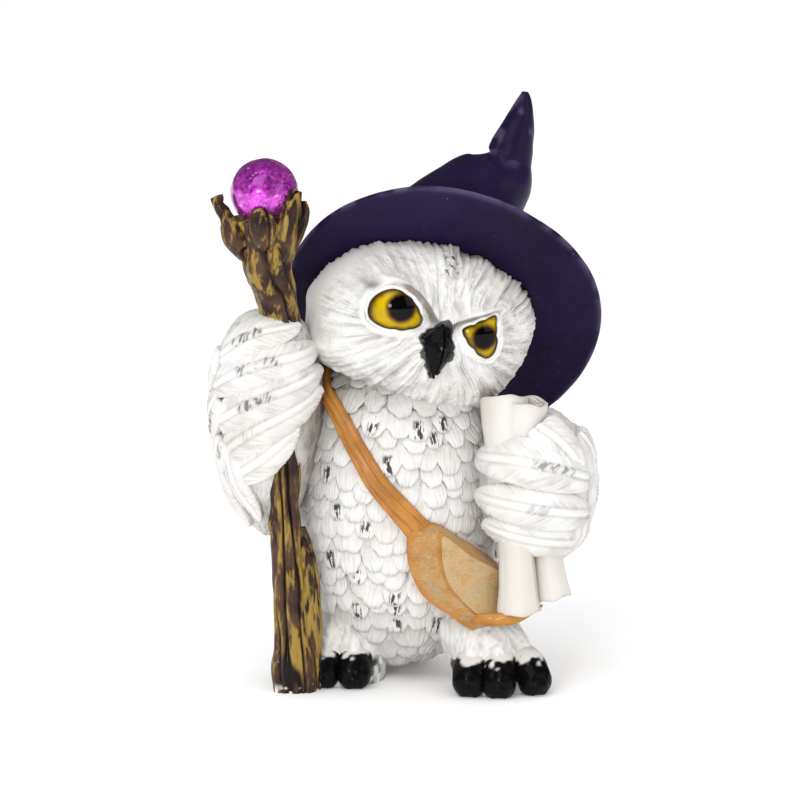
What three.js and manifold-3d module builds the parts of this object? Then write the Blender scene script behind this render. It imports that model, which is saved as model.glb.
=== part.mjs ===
// A cast resin owl figurine: a snowy owl in a pointed hat, with a root staff in its right wing,
// a parchment scroll in its left wing and a satchel slung over its shoulder.
// Millimetres, +Z up, the owl faces -Y, and its own right-hand side is at -X.
import * as THREE from "three";
import { mergeVertices } from "three/addons/utils/BufferGeometryUtils.js";
import Module from "manifold-3d";

const wasm = await Module();
wasm.setup();

// Driving dimensions
const gap = 0.3; // glue line left between two pieces that touch
const ground = 0;

const torso = { centre: [-1.5, 0, 38], rx: 23.6, ry: 22, up: 40, down: 35, powerUp: 2.6, powerDown: 2.2 };
const rightGrip = { centre: [-31.2, -9, 64], rx: 12.6, ry: 14, up: 23, down: 30, powerUp: 2.6, powerDown: 1.7 };
const leftGrip = { centre: [29.5, -10.5, 47.5], rx: 12.8, ry: 14.2, up: 17, down: 18, powerUp: 2.3, powerDown: 2.3 };

const face = {
  centre: [3.2, -2, 83.2],
  radii: [26.8, 23, 19],
  skullRoll: -14, // the skull leans less than the features on it
  yaw: 13, // degrees, towards the owl's left
  roll: 20, // degrees, the crown of the head leans to the owl's left
  eyeSpacing: 19.2,
  eyeAcross: -1.5,
  eyeForward: 16.8,
  eyeUp: 2.8,
  eyeRadius: 7.4,
};
const beakSize = { length: 13.5, width: 7.6, depth: 7, across: -0.6, drop: 3.1 };

const hat = {
  centre: [8.8, 6, 85],
  normal: [0.13, 0.85, 0.51],
  brimRadius: 36.7,
  brimEdge: 1.9, // thickness of the rolled edge
  brimHub: 4.2, // thickness where the crown stands
  crownRadius: 23.5,
};
// The crown leaves the brim along its normal, then bends up and to the owl's left.
const crownPath = [
  { at: [9.4, 16.4, 92.4], radius: 20.6 },
  { at: [12.6, 22.5, 100], radius: 16.8 },
  { at: [18, 26, 108], radius: 11.8 },
  { at: [23, 27.6, 114.6], radius: 7.4 },
];
const tipPath = [
  { at: [23.9, 27.8, 113.6], radius: 6.2 },
  { at: [25, 28.2, 118.5], radius: 5.4 },
  { at: [26.8, 28.3, 124.5], radius: 3.8 },
  { at: [28, 28, 130], radius: 2 },
  { at: [28.3, 27.8, 132.6], radius: 0.8 },
];

const staffPath = [
  { at: [-25.4, -18.5, ground], radius: 4.9 },
  { at: [-25.2, -18.5, 4], radius: 4.7 },
  { at: [-25.8, -18.4, 16], radius: 3.9 },
  { at: [-26.8, -18.2, 32], radius: 3.5 },
  { at: [-27.4, -18, 46], radius: 3.4 },
  { at: [-27.6, -17.4, 62], radius: 4 },
  { at: [-27.8, -16.4, 78], radius: 4.8 },
  { at: [-28.3, -16, 88], radius: 5.4 },
  { at: [-30, -15.4, 97], radius: 5.9 },
  { at: [-31.6, -15, 105], radius: 7.2 },
  { at: [-32, -15, 109.5], radius: 8.4 },
];
const strandPath = [
  { at: [-22.3, -17.6, ground], radius: 3 },
  { at: [-22, -17.6, 12], radius: 2.8 },
  { at: [-22.2, -17.6, 24], radius: 2.5 },
  { at: [-23.2, -17.6, 33], radius: 1.9 },
  { at: [-23.8, -17.6, 38], radius: 1 },
];
const orb = { centre: [-31.7, -15, 114.7], radius: 7.8 };
const claws = [
  { turn: -78, reach: 10, top: 114.4, radius: 1.6 },
  { turn: -14, reach: 9.9, top: 111.2, radius: 1.8 },
  { turn: 48, reach: 9.9, top: 112.4, radius: 1.8 },
  { turn: 104, reach: 9.8, top: 113.8, radius: 1.6 },
  { turn: 170, reach: 9.9, top: 113.4, radius: 1.8 },
];

const scrollFront = [
  { at: [22.6, -15.4, 67.6], radius: 5.3 },
  { at: [23.4, -16.6, 58], radius: 4.9 },
  { at: [25, -18.4, 40], radius: 4.6 },
  { at: [26.2, -20, 26], radius: 4.7 },
  { at: [26.6, -20.6, 18.4], radius: 5.1 },
];
const scrollBack = [
  { at: [28.4, -13, 67], radius: 4.7 },
  { at: [29.4, -14, 56], radius: 4.2 },
  { at: [31.4, -16, 40], radius: 4 },
  { at: [33.4, -18, 27], radius: 4 },
  { at: [34.4, -19, 21.4], radius: 4.3 },
];

// Feathers lie on the egg-shaped core of each wing. Fingers are placed by [x, z] as seen from the front,
// from the outer edge of the wing to the tip; the others by [turn in degrees from the front, z].
const rightFingers = [
  { stops: [[-41, 76], [-34, 80.6], [-24.4, 83]], width: 4 },
  { stops: [[-42.4, 69.6], [-32.8, 75.4], [-20.8, 78.4]], width: 4.1 },
  { stops: [[-41.4, 62.8], [-32, 69], [-20, 74.4]], width: 4.3 },
  { stops: [[-39.6, 56.6], [-30.6, 63.6], [-20, 70]], width: 4.4 },
  { stops: [[-37.6, 50.4], [-31.4, 56], [-25, 62.4]], width: 4 },
];
const leftFingers = [
  { stops: [[40.4, 50], [27, 54.4], [17.2, 53.8]], width: 4.9 },
  { stops: [[40.2, 41.6], [27, 44.6], [17.2, 45.4]], width: 4.3 },
  { stops: [[38, 34.8], [27, 37.4], [18.8, 39]], width: 3.8 },
];
const rightCoverts = [
  { stops: [[-72, 78.5], [-76, 74], [-80, 68.5]], width: 3.2 },
  { stops: [[-60, 68.4], [-70, 64], [-84, 57.6]], width: 4.4 },
  { stops: [[-58, 59], [-66, 55], [-78, 50]], width: 4.2 },
  { stops: [[-118, 76], [-122, 68], [-128, 56]], width: 5.2 },
  { stops: [[-152, 74], [-156, 66], [-160, 54]], width: 5.2 },
];
const leftCoverts = [
  { stops: [[4, 61.4], [24, 58.6], [52, 52.4]], width: 4.4 },
  { stops: [[66, 59], [74, 55], [84, 49]], width: 4.2 },
  { stops: [[88, 51], [88, 44], [84, 36]], width: 3.8 },
  { stops: [[118, 58], [122, 50], [126, 42]], width: 5 },
  { stops: [[152, 58], [156, 50], [160, 40]], width: 5 },
];
const rightPrimaries = [
  { stops: [[-46, 57], [-40, 48], [-18, 40]], width: 3 },
  { stops: [[-76, 52], [-72, 44], [-50, 38]], width: 3.4 },
  { stops: [[-116, 56], [-112, 46], [-96, 38.5]], width: 4 },
];
const leftPrimaries = [
  { stops: [[62, 40], [64, 35], [60, 31.5]], width: 3.4 },
  { stops: [[106, 42], [104, 36], [98, 31.5]], width: 3.8 },
  { stops: [[146, 42], [142, 36], [136, 31.5]], width: 3.8 },
];
const bladeThick = 1.5;

const strapPath = { start: 3.4, end: 5.6, thick: 1.6, stops: [[-17.4, 72.4], [-12.6, 62.4], [-7.4, 54.4], [0.6, 43.4]] };
const strapBack = { width: 4.4, thick: 1.4, stops: [[66, -23], [98, -17], [128, -4], [158, 10], [192, 22], [222, 29]] };
const bag = { from: [3, 3.6], to: [66, -21.4], width: 15.6, thick: 5.2 };
const flap = { from: [9, 1.2], to: [57, -16.5], width: 12, thick: 1.5 };

// Each leg slopes from inside the belly down to its foot.
const legs = {
  right: [
    { at: [-8, -2.5, 19], radius: 6.5 },
    { at: [-11.4, -4.6, 13.6], radius: 8.6 },
    { at: [-13.6, -6.6, 7], radius: 9.2 },
    { at: [-14, -7.4, 1.5], radius: 9.2 },
    { at: [-14, -7.6, -2], radius: 9 },
  ],
  left: [
    { at: [8, -4.5, 21], radius: 6.5 },
    { at: [13.6, -8.8, 15.6], radius: 8.4 },
    { at: [18.8, -12.8, 8.6], radius: 9.2 },
    { at: [20.8, -14.6, 2], radius: 9.6 },
    { at: [21, -14.8, -2], radius: 9.4 },
  ],
};
const toes = { length: 12.5, width: 5.9, height: 7.4 };
const toePlaces = {
  right_outer: { heel: [-20.4, -6.4], point: -70 },
  right_middle: { heel: [-17.4, -9.6], point: -12 },
  right_inner: { heel: [-12, -10.2], point: 2 },
  left_inner: { heel: [16.2, -17.4], point: -12 },
  left_middle: { heel: [21.4, -18.4], point: 0 },
  left_outer: { heel: [26.8, -16.4], point: 26 },
};

const tail = { centre: [-1, 17.5, ground], radii: [9.5, 11, 17] };
const tailFeathers = { count: 3, spread: 8.5, root: [15.5, 21], tip: [33, 1.3], width: 3.6, thick: 2 };

// Materials
const paint = (color, roughness, metalness = 0) => new THREE.MeshStandardMaterial({ color, roughness, metalness });
const white = paint(0xe9e5df, 0.5);
const cream = paint(0xefe6da, 0.5);
const purple = paint(0x1d1438, 0.35);
const black = paint(0x0c0b0c, 0.35);
const amber = paint(0xb08a00, 0.12);
const magenta = paint(0x9a1a9a, 0.25, 0.6);
const bark = paint(0x4a3226, 0.5);
const tan = paint(0xb8792e, 0.5);

const radians = THREE.MathUtils.degToRad;
const vector = (a) => new THREE.Vector3(...a);

// The share of an egg's full radius left at a height above its centre
function waist(egg, z) {
  const [reach, power] = z >= 0 ? [egg.up, egg.powerUp] : [egg.down, egg.powerDown];
  return Math.pow(Math.max(0, 1 - Math.pow(Math.abs(z) / reach, power)), 1 / power);
}

// The point of an egg at a turn (radians from the front) and a height above its centre
function eggPoint(egg, turn, z) {
  const s = waist(egg, z);
  return new THREE.Vector3(egg.rx * s * Math.sin(turn), -egg.ry * s * Math.cos(turn), z).add(vector(egg.centre));
}

function eggNormal(egg, turn, z) {
  const step = 1e-3;
  const across = eggPoint(egg, turn + step, z).sub(eggPoint(egg, turn - step, z));
  const upward = eggPoint(egg, turn, z + step).sub(eggPoint(egg, turn, z - step));
  return across.cross(upward).normalize();
}

// Moves a point onto an egg and then out along its normal
function ontoEgg(egg, point, lift) {
  const p = point.clone().sub(vector(egg.centre));
  const z = THREE.MathUtils.clamp(p.z, -egg.down * 0.985, egg.up * 0.985);
  const turn = Math.atan2(p.x / egg.rx, -p.y / egg.ry);
  return eggPoint(egg, turn, z).addScaledVector(eggNormal(egg, turn, z), lift);
}

// The turn and height at which an egg is seen from the front at x, z
function seenAt(egg, [x, z]) {
  const height = z - egg.centre[2];
  const share = THREE.MathUtils.clamp((x - egg.centre[0]) / (egg.rx * waist(egg, height)), -0.995, 0.995);
  return [THREE.MathUtils.radToDeg(Math.asin(share)), height];
}

function eggGeometry(egg, around, rings) {
  const profile = [];
  for (let i = 0; i <= rings; i++) {
    const angle = -Math.PI / 2 + (Math.PI * i) / rings;
    const z = Math.sin(angle) * (angle < 0 ? egg.down : egg.up);
    profile.push(new THREE.Vector2(i === 0 || i === rings ? 0 : waist(egg, z), z));
  }
  return new THREE.LatheGeometry(profile, around).rotateX(Math.PI / 2).scale(egg.rx, egg.ry, 1);
}

// A closed solid between two grids of points with the same rows and columns
function sheetGeometry(top, bottom) {
  const rows = top.length;
  const columns = top[0].length;
  const points = [...top.flat(), ...bottom.flat()];
  const under = rows * columns;
  const index = [];
  const quad = (a, b, c, d) => index.push(a, b, c, a, c, d);
  for (let i = 0; i + 1 < rows; i++) {
    for (let j = 0; j + 1 < columns; j++) {
      const a = i * columns + j;
      quad(a, a + 1, a + columns + 1, a + columns);
      quad(under + a + columns, under + a + columns + 1, under + a + 1, under + a);
    }
  }
  const rim = [];
  for (let j = 0; j < columns; j++) rim.push(j);
  for (let i = 1; i < rows; i++) rim.push(i * columns + columns - 1);
  for (let j = columns - 2; j >= 0; j--) rim.push((rows - 1) * columns + j);
  for (let i = rows - 2; i > 0; i--) rim.push(i * columns);
  rim.forEach((a, k) => {
    const b = rim[(k + 1) % rim.length];
    quad(b, a, under + a, under + b);
  });
  return facingOut(pointsGeometry(points, index));
}

// A closed solid through rings of points, with a fan at each end
function loftGeometry(rings) {
  const n = rings[0].length;
  const points = rings.flat();
  const index = [];
  for (let i = 0; i + 1 < rings.length; i++) {
    for (let j = 0; j < n; j++) {
      const a = i * n + j;
      const b = i * n + ((j + 1) % n);
      index.push(a, b, b + n, a, b + n, a + n);
    }
  }
  const middle = (ring) => ring.reduce((sum, p) => sum.add(p), new THREE.Vector3()).divideScalar(n);
  const first = points.push(middle(rings[0])) - 1;
  const last = points.push(middle(rings.at(-1))) - 1;
  for (let j = 0; j < n; j++) {
    const k = (j + 1) % n;
    index.push(first, k, j);
    index.push(last, (rings.length - 1) * n + j, (rings.length - 1) * n + k);
  }
  return facingOut(pointsGeometry(points, index));
}

function pointsGeometry(points, index) {
  const geometry = new THREE.BufferGeometry().setFromPoints(points);
  geometry.setIndex(index);
  return geometry;
}

function signedVolume(geometry) {
  const at = geometry.getAttribute("position");
  const corner = (i) => new THREE.Vector3().fromBufferAttribute(at, geometry.index.getX(i));
  let volume = 0;
  for (let i = 0; i < geometry.index.count; i += 3) volume += corner(i).dot(corner(i + 1).cross(corner(i + 2)));
  return volume / 6;
}

function facingOut(geometry) {
  if (signedVolume(geometry) < 0) {
    const index = geometry.index;
    for (let i = 0; i < index.count; i += 3) {
      const a = index.getX(i);
      index.setX(i, index.getX(i + 1));
      index.setX(i + 1, a);
    }
  }
  return geometry;
}

// Round rings along a smooth line through stops {at, radius}; flat lets the first ring lie level
function sweepGeometry(stops, around, rings, { flat = false, squash = 1, start = null } = {}) {
  const line = new THREE.CatmullRomCurve3(stops.map((s) => vector(s.at)));
  const girth = new THREE.CatmullRomCurve3(stops.map((s, i) => new THREE.Vector3(i, s.radius, 0)));
  const made = [];
  for (let i = 0; i <= rings; i++) {
    const t = i / rings;
    const along = i === 0 && start ? vector(start).normalize() : line.getTangent(t);
    if (flat && i === 0) along.set(0, 0, 1);
    const side = new THREE.Vector3(0, 1, 0).cross(along).normalize();
    const back = along.clone().cross(side).normalize();
    const centre = line.getPoint(t);
    const radius = girth.getPoint(t).y;
    const ring = [];
    for (let j = 0; j < around; j++) {
      const a = (2 * Math.PI * j) / around;
      const offset = side.clone().multiplyScalar(Math.cos(a)).addScaledVector(back, Math.sin(a) * squash);
      ring.push(centre.clone().addScaledVector(offset, radius));
    }
    made.push(ring);
  }
  return loftGeometry(made);
}

// A blade's half width along its length, narrow at the root and round at the tip
const bladeShape = (u) => Math.pow(Math.sin(Math.PI * (0.14 + 0.83 * u)), 0.62);

// A blade that lies on an egg, along a line of [turn in degrees, height above the centre].
// lean lifts one edge over the next blade, as slates overlap.
function bladeOnEgg(egg, stops, { width, thick, lean = 0, shape = bladeShape, rows = 7, columns = 2, dome = 0.5 }) {
  const line = new THREE.CatmullRomCurve3(stops.map(([turn, z]) => new THREE.Vector3(radians(turn), z, 0)));
  const centre = (u) => {
    const p = line.getPoint(THREE.MathUtils.clamp(u, 0, 1));
    return eggPoint(egg, p.x, p.y);
  };
  const top = [];
  const bottom = [];
  for (let i = 0; i <= rows; i++) {
    const u = i / rows;
    const c = centre(u);
    const p = line.getPoint(u);
    const out = eggNormal(egg, p.x, p.y);
    const along = centre(u + 0.01).sub(centre(u - 0.01)).normalize();
    const side = out.clone().cross(along).normalize();
    const half = typeof width === "function" ? width(u) : width * shape(u);
    top.push([]);
    bottom.push([]);
    for (let j = 0; j <= columns; j++) {
      const v = (2 * j) / columns - 1;
      const q = c.clone().addScaledVector(side, v * half);
      const base = gap + (Math.abs(lean) * (1 + Math.sign(lean) * v)) / 2;
      const height = thick * (1 - dome * v * v) * (0.55 + 0.45 * Math.sin(Math.PI * Math.min(1, u * 1.1)));
      bottom[i].push(ontoEgg(egg, q, base));
      top[i].push(ontoEgg(egg, q, base + height));
    }
  }
  return sheetGeometry(top, bottom);
}

// A blade in free space from root to tip, arched across its width
function bladeBetween(root, tip, sideways, { width, thick, arch, rows = 5, columns = 2 }) {
  const along = tip.clone().sub(root);
  const side = vector(sideways).normalize();
  const out = side.clone().cross(along).normalize();
  const top = [];
  const bottom = [];
  for (let i = 0; i <= rows; i++) {
    const u = i / rows;
    top.push([]);
    bottom.push([]);
    for (let j = 0; j <= columns; j++) {
      const v = (2 * j) / columns - 1;
      const q = root.clone().addScaledVector(along, u).addScaledVector(side, v * width * bladeShape(u));
      q.addScaledVector(out, -arch * v * v);
      bottom[i].push(q.clone().addScaledVector(out, -thick / 2));
      top[i].push(q.clone().addScaledVector(out, (thick / 2) * (1 - 0.5 * v * v)));
    }
  }
  return sheetGeometry(top, bottom);
}

// Keeps everything above a level, with a flat sole on it
function soled(geometry, level) {
  const at = geometry.getAttribute("position");
  for (let i = 0; i < at.count; i++) at.setZ(i, Math.max(level, at.getZ(i)));
  return geometry;
}

// The figurine is one group. Each new piece gives way to the pieces before it where they would meet.
const owl = new THREE.Group();
const placed = [];

function plain(geometry) {
  const bare = new THREE.BufferGeometry().setAttribute("position", geometry.getAttribute("position").clone());
  if (geometry.index) bare.setIndex(geometry.index.clone());
  return mergeVertices(bare, 1e-4);
}

// A slightly fatter copy, used to cut room for a neighbour
function grown(geometry, by) {
  const fat = plain(geometry);
  fat.computeVertexNormals();
  const at = fat.getAttribute("position");
  const normal = fat.getAttribute("normal");
  for (let i = 0; i < at.count; i++) {
    at.setXYZ(i, at.getX(i) + by * normal.getX(i), at.getY(i) + by * normal.getY(i), at.getZ(i) + by * normal.getZ(i));
  }
  fat.deleteAttribute("normal");
  return fat;
}

function solidOf(geometry) {
  const bare = plain(geometry);
  const mesh = new wasm.Mesh({
    numProp: 3,
    vertProperties: bare.getAttribute("position").array,
    triVerts: new Uint32Array(bare.index.array),
  });
  return new wasm.Manifold(mesh);
}

function geometryOf(solid) {
  const { vertProperties, triVerts } = solid.getMesh();
  const geometry = new THREE.BufferGeometry();
  geometry.setAttribute("position", new THREE.BufferAttribute(new Float32Array(vertProperties), 3));
  geometry.setIndex(new THREE.BufferAttribute(new Uint32Array(triVerts), 1));
  return geometry;
}

function add(name, geometry, material, { position = [0, 0, 0], turn = null, parent = owl } = {}) {
  const mesh = new THREE.Mesh(geometry, material);
  mesh.name = name;
  mesh.position.set(...position);
  if (turn) mesh.quaternion.copy(turn);
  parent.add(mesh);
  owl.updateMatrixWorld(true);
  const toMesh = mesh.matrixWorld.clone().invert();
  const whole = new THREE.Box3().setFromObject(mesh);
  const before = placed.filter((other) => other.box.intersectsBox(whole));
  placed.push({ mesh, geometry, box: whole.clone().expandByScalar(gap) });
  let solid = solidOf(geometry);
  for (const other of before) {
    const cutter = grown(other.geometry, gap * 1.3);
    cutter.applyMatrix4(toMesh.clone().multiply(other.mesh.matrixWorld));
    solid = solid.subtract(solidOf(cutter));
  }
  if (before.length) {
    const largest = solid.decompose().reduce((a, b) => (a.volume() > b.volume() ? a : b));
    mesh.geometry = geometryOf(largest);
  }
  return mesh;
}

// Body, face and hat
function buildBody() {
  add("body", eggGeometry(torso, 24, 14), white, { position: torso.centre });
}

function headFrame() {
  const frame = new THREE.Group();
  frame.position.set(...face.centre);
  const yaw = new THREE.Quaternion().setFromAxisAngle(new THREE.Vector3(0, 0, 1), radians(face.yaw));
  const roll = new THREE.Quaternion().setFromAxisAngle(new THREE.Vector3(0, 1, 0), radians(face.roll));
  frame.quaternion.copy(yaw.multiply(roll));
  owl.add(frame);
  return frame;
}

function buildFace(parent) {
  for (const [name, side] of [["right_eye", -1], ["left_eye", 1]]) {
    const position = [face.eyeAcross + (side * face.eyeSpacing) / 2, -face.eyeForward, face.eyeUp];
    add(name, new THREE.SphereGeometry(face.eyeRadius, 14, 9), amber, { position, parent });
  }
  const { length, width, depth, across, drop } = beakSize;
  const rings = [];
  for (let i = 0; i <= 7; i++) {
    const u = i / 7;
    const half = (width / 2) * Math.pow(Math.sin(Math.PI * (0.12 + 0.82 * u)), 0.8);
    const out = -(21 + depth * (0.35 + 0.65 * Math.sin(Math.PI * (0.1 + 0.7 * u))) * 0.75);
    const ring = [];
    for (let j = 0; j < 8; j++) {
      const a = (2 * Math.PI * j) / 8;
      ring.push(new THREE.Vector3(half * Math.cos(a), out + 2.6 + half * 0.9 * Math.sin(a), length / 2 - length * u));
    }
    rings.push(ring);
  }
  add("beak", loftGeometry(rings), black, { position: [across, 0, -drop], parent });
  const skull = new THREE.SphereGeometry(1, 24, 16).rotateX(Math.PI / 2).scale(...face.radii);
  skull.rotateY(radians(face.skullRoll));
  parent.updateMatrixWorld(true);
  const world = parent.matrixWorld;
  const up = vector(hat.normal).normalize();
  const seat = up.dot(vector(hat.centre)) - hat.brimHub / 2 - gap;
  const at = skull.getAttribute("position");
  const p = new THREE.Vector3();
  for (let i = 0; i < at.count; i++) {
    p.fromBufferAttribute(at, i).applyMatrix4(world);
    p.addScaledVector(up, Math.min(0, seat - up.dot(p))).applyMatrix4(world.clone().invert());
    at.setXYZ(i, p.x, p.y, p.z);
  }
  add("head", skull, white, { parent });
}

function buildHat() {
  const frame = new THREE.Group();
  frame.position.set(...hat.centre);
  const up = vector(hat.normal).normalize();
  frame.quaternion.setFromUnitVectors(new THREE.Vector3(0, 0, 1), up);
  owl.add(frame);
  const { brimRadius: r, brimEdge: edge, brimHub: hub, crownRadius } = hat;
  const profile = [
    [0, -hub / 2],
    [crownRadius * 0.7, -hub / 2],
    [crownRadius, -hub * 0.4],
    [r * 0.85, -edge * 0.45],
    [r - edge * 0.3, -edge / 2],
    [r, 0],
    [r - edge * 0.3, edge / 2],
    [r * 0.85, edge * 0.6],
    [crownRadius, hub / 2],
    [0, hub / 2],
  ];
  const brim = new THREE.LatheGeometry(profile.map(([x, y]) => new THREE.Vector2(x, y)), 32).rotateX(Math.PI / 2);
  add("hat_brim", brim, purple, { parent: frame });
  const foot = vector(hat.centre).addScaledVector(up, hub / 2);
  const stops = [{ at: foot.toArray(), radius: crownRadius }, ...crownPath];
  add("hat_crown", sweepGeometry(stops, 18, 9, { start: hat.normal }), purple);
  add("hat_tip", sweepGeometry(tipPath, 10, 6), purple);
}

// Staff, with its roots closed round the orb
function buildStaff() {
  const ball = new THREE.SphereGeometry(orb.radius, 16, 10).rotateX(Math.PI / 2);
  add("orb", ball, magenta, { position: orb.centre });
  add("staff", sweepGeometry(staffPath, 10, 12, { flat: true }), bark);
  add("staff_strand", sweepGeometry(strandPath, 6, 6, { flat: true }), bark);
  claws.forEach(({ turn, reach, top, radius }, k) => {
    const out = new THREE.Vector3(Math.sin(radians(turn)), -Math.cos(radians(turn)), 0);
    const foot = vector([orb.centre[0], orb.centre[1], 0]);
    const at = (distance, z) => foot.clone().addScaledVector(out, distance).setZ(z).toArray();
    const stops = [
      { at: at(reach - 1.4, 104), radius: radius * 0.7 },
      { at: at(reach, 107.6), radius: radius * 1.1 },
      { at: at(reach - 0.1, top - 2.2), radius },
      { at: at(reach - 0.5, top), radius: radius * 0.55 },
    ];
    add(`staff_claw_${k + 1}`, sweepGeometry(stops, 6, 4), bark);
  });
}

function buildScroll() {
  add("scroll_front_roll", sweepGeometry(scrollFront, 12, 6), cream);
  add("scroll_back_roll", sweepGeometry(scrollBack, 12, 6), cream);
}

// Satchel on its strap, following the belly and the back
function buildSatchel() {
  const rounded = (u, power) => Math.pow(Math.max(0, 1 - Math.pow(Math.abs(2 * u - 1), power)), 0.42);
  const pouch = (u) => (bag.width / 2) * rounded(u, 3) + 0.4;
  add("satchel_bag", bladeOnEgg(torso, [bag.from, bag.to], {
    width: pouch, thick: bag.thick, rows: 10, columns: 4, dome: 0.7,
  }), tan);
  const lid = (u) => (flap.width / 2) * rounded(u, 4) + 0.3;
  const lidEgg = { ...torso, rx: torso.rx + bag.thick, ry: torso.ry + bag.thick };
  add("satchel_flap", bladeOnEgg(lidEgg, [flap.from, flap.to], {
    width: lid, thick: flap.thick, rows: 8, columns: 4, dome: 0.6,
  }), tan);
  const front = (u) => (strapPath.start + (strapPath.end - strapPath.start) * u) / 2;
  const down = strapPath.stops.map((stop) => seenAt(torso, stop));
  add("satchel_strap_front", bladeOnEgg(torso, down, {
    width: front, thick: strapPath.thick, rows: 10, columns: 2, dome: 0.4,
  }), tan);
  add("satchel_strap_back", bladeOnEgg(torso, strapBack.stops, {
    width: () => strapBack.width / 2, thick: strapBack.thick, rows: 14, columns: 2, dome: 0.4,
  }), tan);
}

// Each wing is a closed hand of feathers: a core, fingers across the front, coverts and primaries round the back
function buildWing(side, egg, sets) {
  add(`${side}_wing`, eggGeometry(egg, 16, 10), white, { position: egg.centre });
  const lean = bladeThick + gap;
  sets.finger.forEach(({ stops, width }, k) => {
    const path = stops.map((stop) => seenAt(egg, stop));
    const options = { width, thick: bladeThick, lean: side === "right" ? -lean : lean };
    add(`${side}_wing_finger_${k + 1}`, bladeOnEgg(egg, path, options), white);
  });
  for (const kind of ["covert", "primary"]) {
    sets[kind].forEach(({ stops, width }, k) => {
      const path = stops.map(([turn, z]) => [turn, z - egg.centre[2]]);
      const options = { width, thick: bladeThick, lean, rows: 6 };
      add(`${side}_wing_${kind}_${k + 1}`, bladeOnEgg(egg, path, options), white);
    });
  }
}

function buildFeet() {
  for (const [name, { heel, point }] of Object.entries(toePlaces)) {
    const out = new THREE.Vector3(Math.sin(radians(point)), -Math.cos(radians(point)), 0);
    const foot = new THREE.Vector3(...heel, 0);
    const { length, width, height } = toes;
    const at = (share, z) => foot.clone().addScaledVector(out, share * length).setZ(z).toArray();
    const stops = [
      { at: at(-0.3, height * 0.62), radius: width * 0.36 },
      { at: at(0.1, height * 0.6), radius: width * 0.5 },
      { at: at(0.45, height * 0.42), radius: width * 0.46 },
      { at: at(0.72, height * 0.2), radius: width * 0.3 },
    ];
    add(`toe_${name}`, soled(sweepGeometry(stops, 8, 5), ground), black);
  }
  for (const [side, stops] of Object.entries(legs)) {
    add(`${side}_leg`, soled(sweepGeometry(stops, 12, 7), ground), white);
  }
}

function buildTail() {
  const root = new THREE.SphereGeometry(1, 12, 8).rotateX(Math.PI / 2).scale(...tail.radii);
  add("tail_base", soled(root, ground), white, { position: tail.centre });
  const { count, spread, root: from, tip: to, width, thick } = tailFeathers;
  for (let k = 0; k < count; k++) {
    const share = (2 * k) / (count - 1) - 1;
    const start = new THREE.Vector3(share * spread * 0.45, from[0], from[1] - Math.abs(share) * 2);
    const end = new THREE.Vector3(share * spread, to[0] - share * share * 3, to[1]);
    const blade = bladeBetween(start, end, [1, 0, 0], { width, thick, arch: 0.8 });
    add(`tail_feather_${k + 1}`, soled(blade, ground), white);
  }
}

buildBody();
buildFace(headFrame());
buildStaff();
buildScroll();
buildHat();
buildSatchel();
buildWing("right", rightGrip, { finger: rightFingers, covert: rightCoverts, primary: rightPrimaries });
buildWing("left", leftGrip, { finger: leftFingers, covert: leftCoverts, primary: leftPrimaries });
buildFeet();
buildTail();

// The origin is under the middle of the figurine, on the shelf it stands on
const whole = new THREE.Box3().setFromObject(owl, true);
const middle = whole.getCenter(new THREE.Vector3());
for (const child of owl.children) child.position.sub(new THREE.Vector3(middle.x, middle.y, whole.min.z));

export default owl;
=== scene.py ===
import bpy
import numpy as np
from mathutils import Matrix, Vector


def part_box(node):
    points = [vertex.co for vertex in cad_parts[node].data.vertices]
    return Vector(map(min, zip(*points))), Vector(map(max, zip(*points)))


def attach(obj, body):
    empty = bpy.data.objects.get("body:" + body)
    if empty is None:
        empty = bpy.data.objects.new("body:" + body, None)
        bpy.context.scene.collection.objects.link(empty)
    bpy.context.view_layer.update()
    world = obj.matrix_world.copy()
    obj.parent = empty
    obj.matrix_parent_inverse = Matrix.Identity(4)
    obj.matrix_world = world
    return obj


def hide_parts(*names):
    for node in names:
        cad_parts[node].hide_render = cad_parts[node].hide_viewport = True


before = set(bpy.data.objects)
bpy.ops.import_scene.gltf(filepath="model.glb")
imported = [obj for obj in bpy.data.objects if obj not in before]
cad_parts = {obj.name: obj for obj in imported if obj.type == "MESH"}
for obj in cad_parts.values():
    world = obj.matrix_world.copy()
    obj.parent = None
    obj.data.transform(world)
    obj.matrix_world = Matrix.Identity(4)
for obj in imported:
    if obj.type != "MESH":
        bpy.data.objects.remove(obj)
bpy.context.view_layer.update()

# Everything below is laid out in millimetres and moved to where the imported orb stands.
mm = 0.001
orb = {"centre": (-31.7, -15, 114.7), "radius": 7.8, "dent": 0.16}
orbLow, orbHigh = (np.array(corner) * 1000 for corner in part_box("orb"))
toFrame = (orbLow + orbHigh) / 2 - np.array(orb["centre"])


# small tools
def unit(v):
    v = np.asarray(v, float)
    return v / np.maximum(np.linalg.norm(v, axis=-1, keepdims=True), 1e-12)


def ease(low, high, x):  # 0 below low, 1 above high, smooth between
    t = np.clip((np.asarray(x, float) - low) / (high - low), 0, 1)
    return t * t * (3 - 2 * t)


lattice = np.random.default_rng(11).random((48, 48, 48)) * 2 - 1


def noise(points, size, seed=0):  # smooth lumps of about this size, -1 to 1
    p = np.asarray(points, float) / np.asarray(size, float) + 13.7 * seed + 5000
    cell = np.floor(p).astype(int)
    t = p - cell
    t = t * t * (3 - 2 * t)
    a, b = cell % 48, (cell + 1) % 48
    x, y, z = t[..., 0], t[..., 1], t[..., 2]
    total = 0
    for i, wx in ((a[..., 0], 1 - x), (b[..., 0], x)):
        for j, wy in ((a[..., 1], 1 - y), (b[..., 1], y)):
            for k, wz in ((a[..., 2], 1 - z), (b[..., 2], z)):
                total = total + lattice[i, j, k] * wx * wy * wz
    return total


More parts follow.
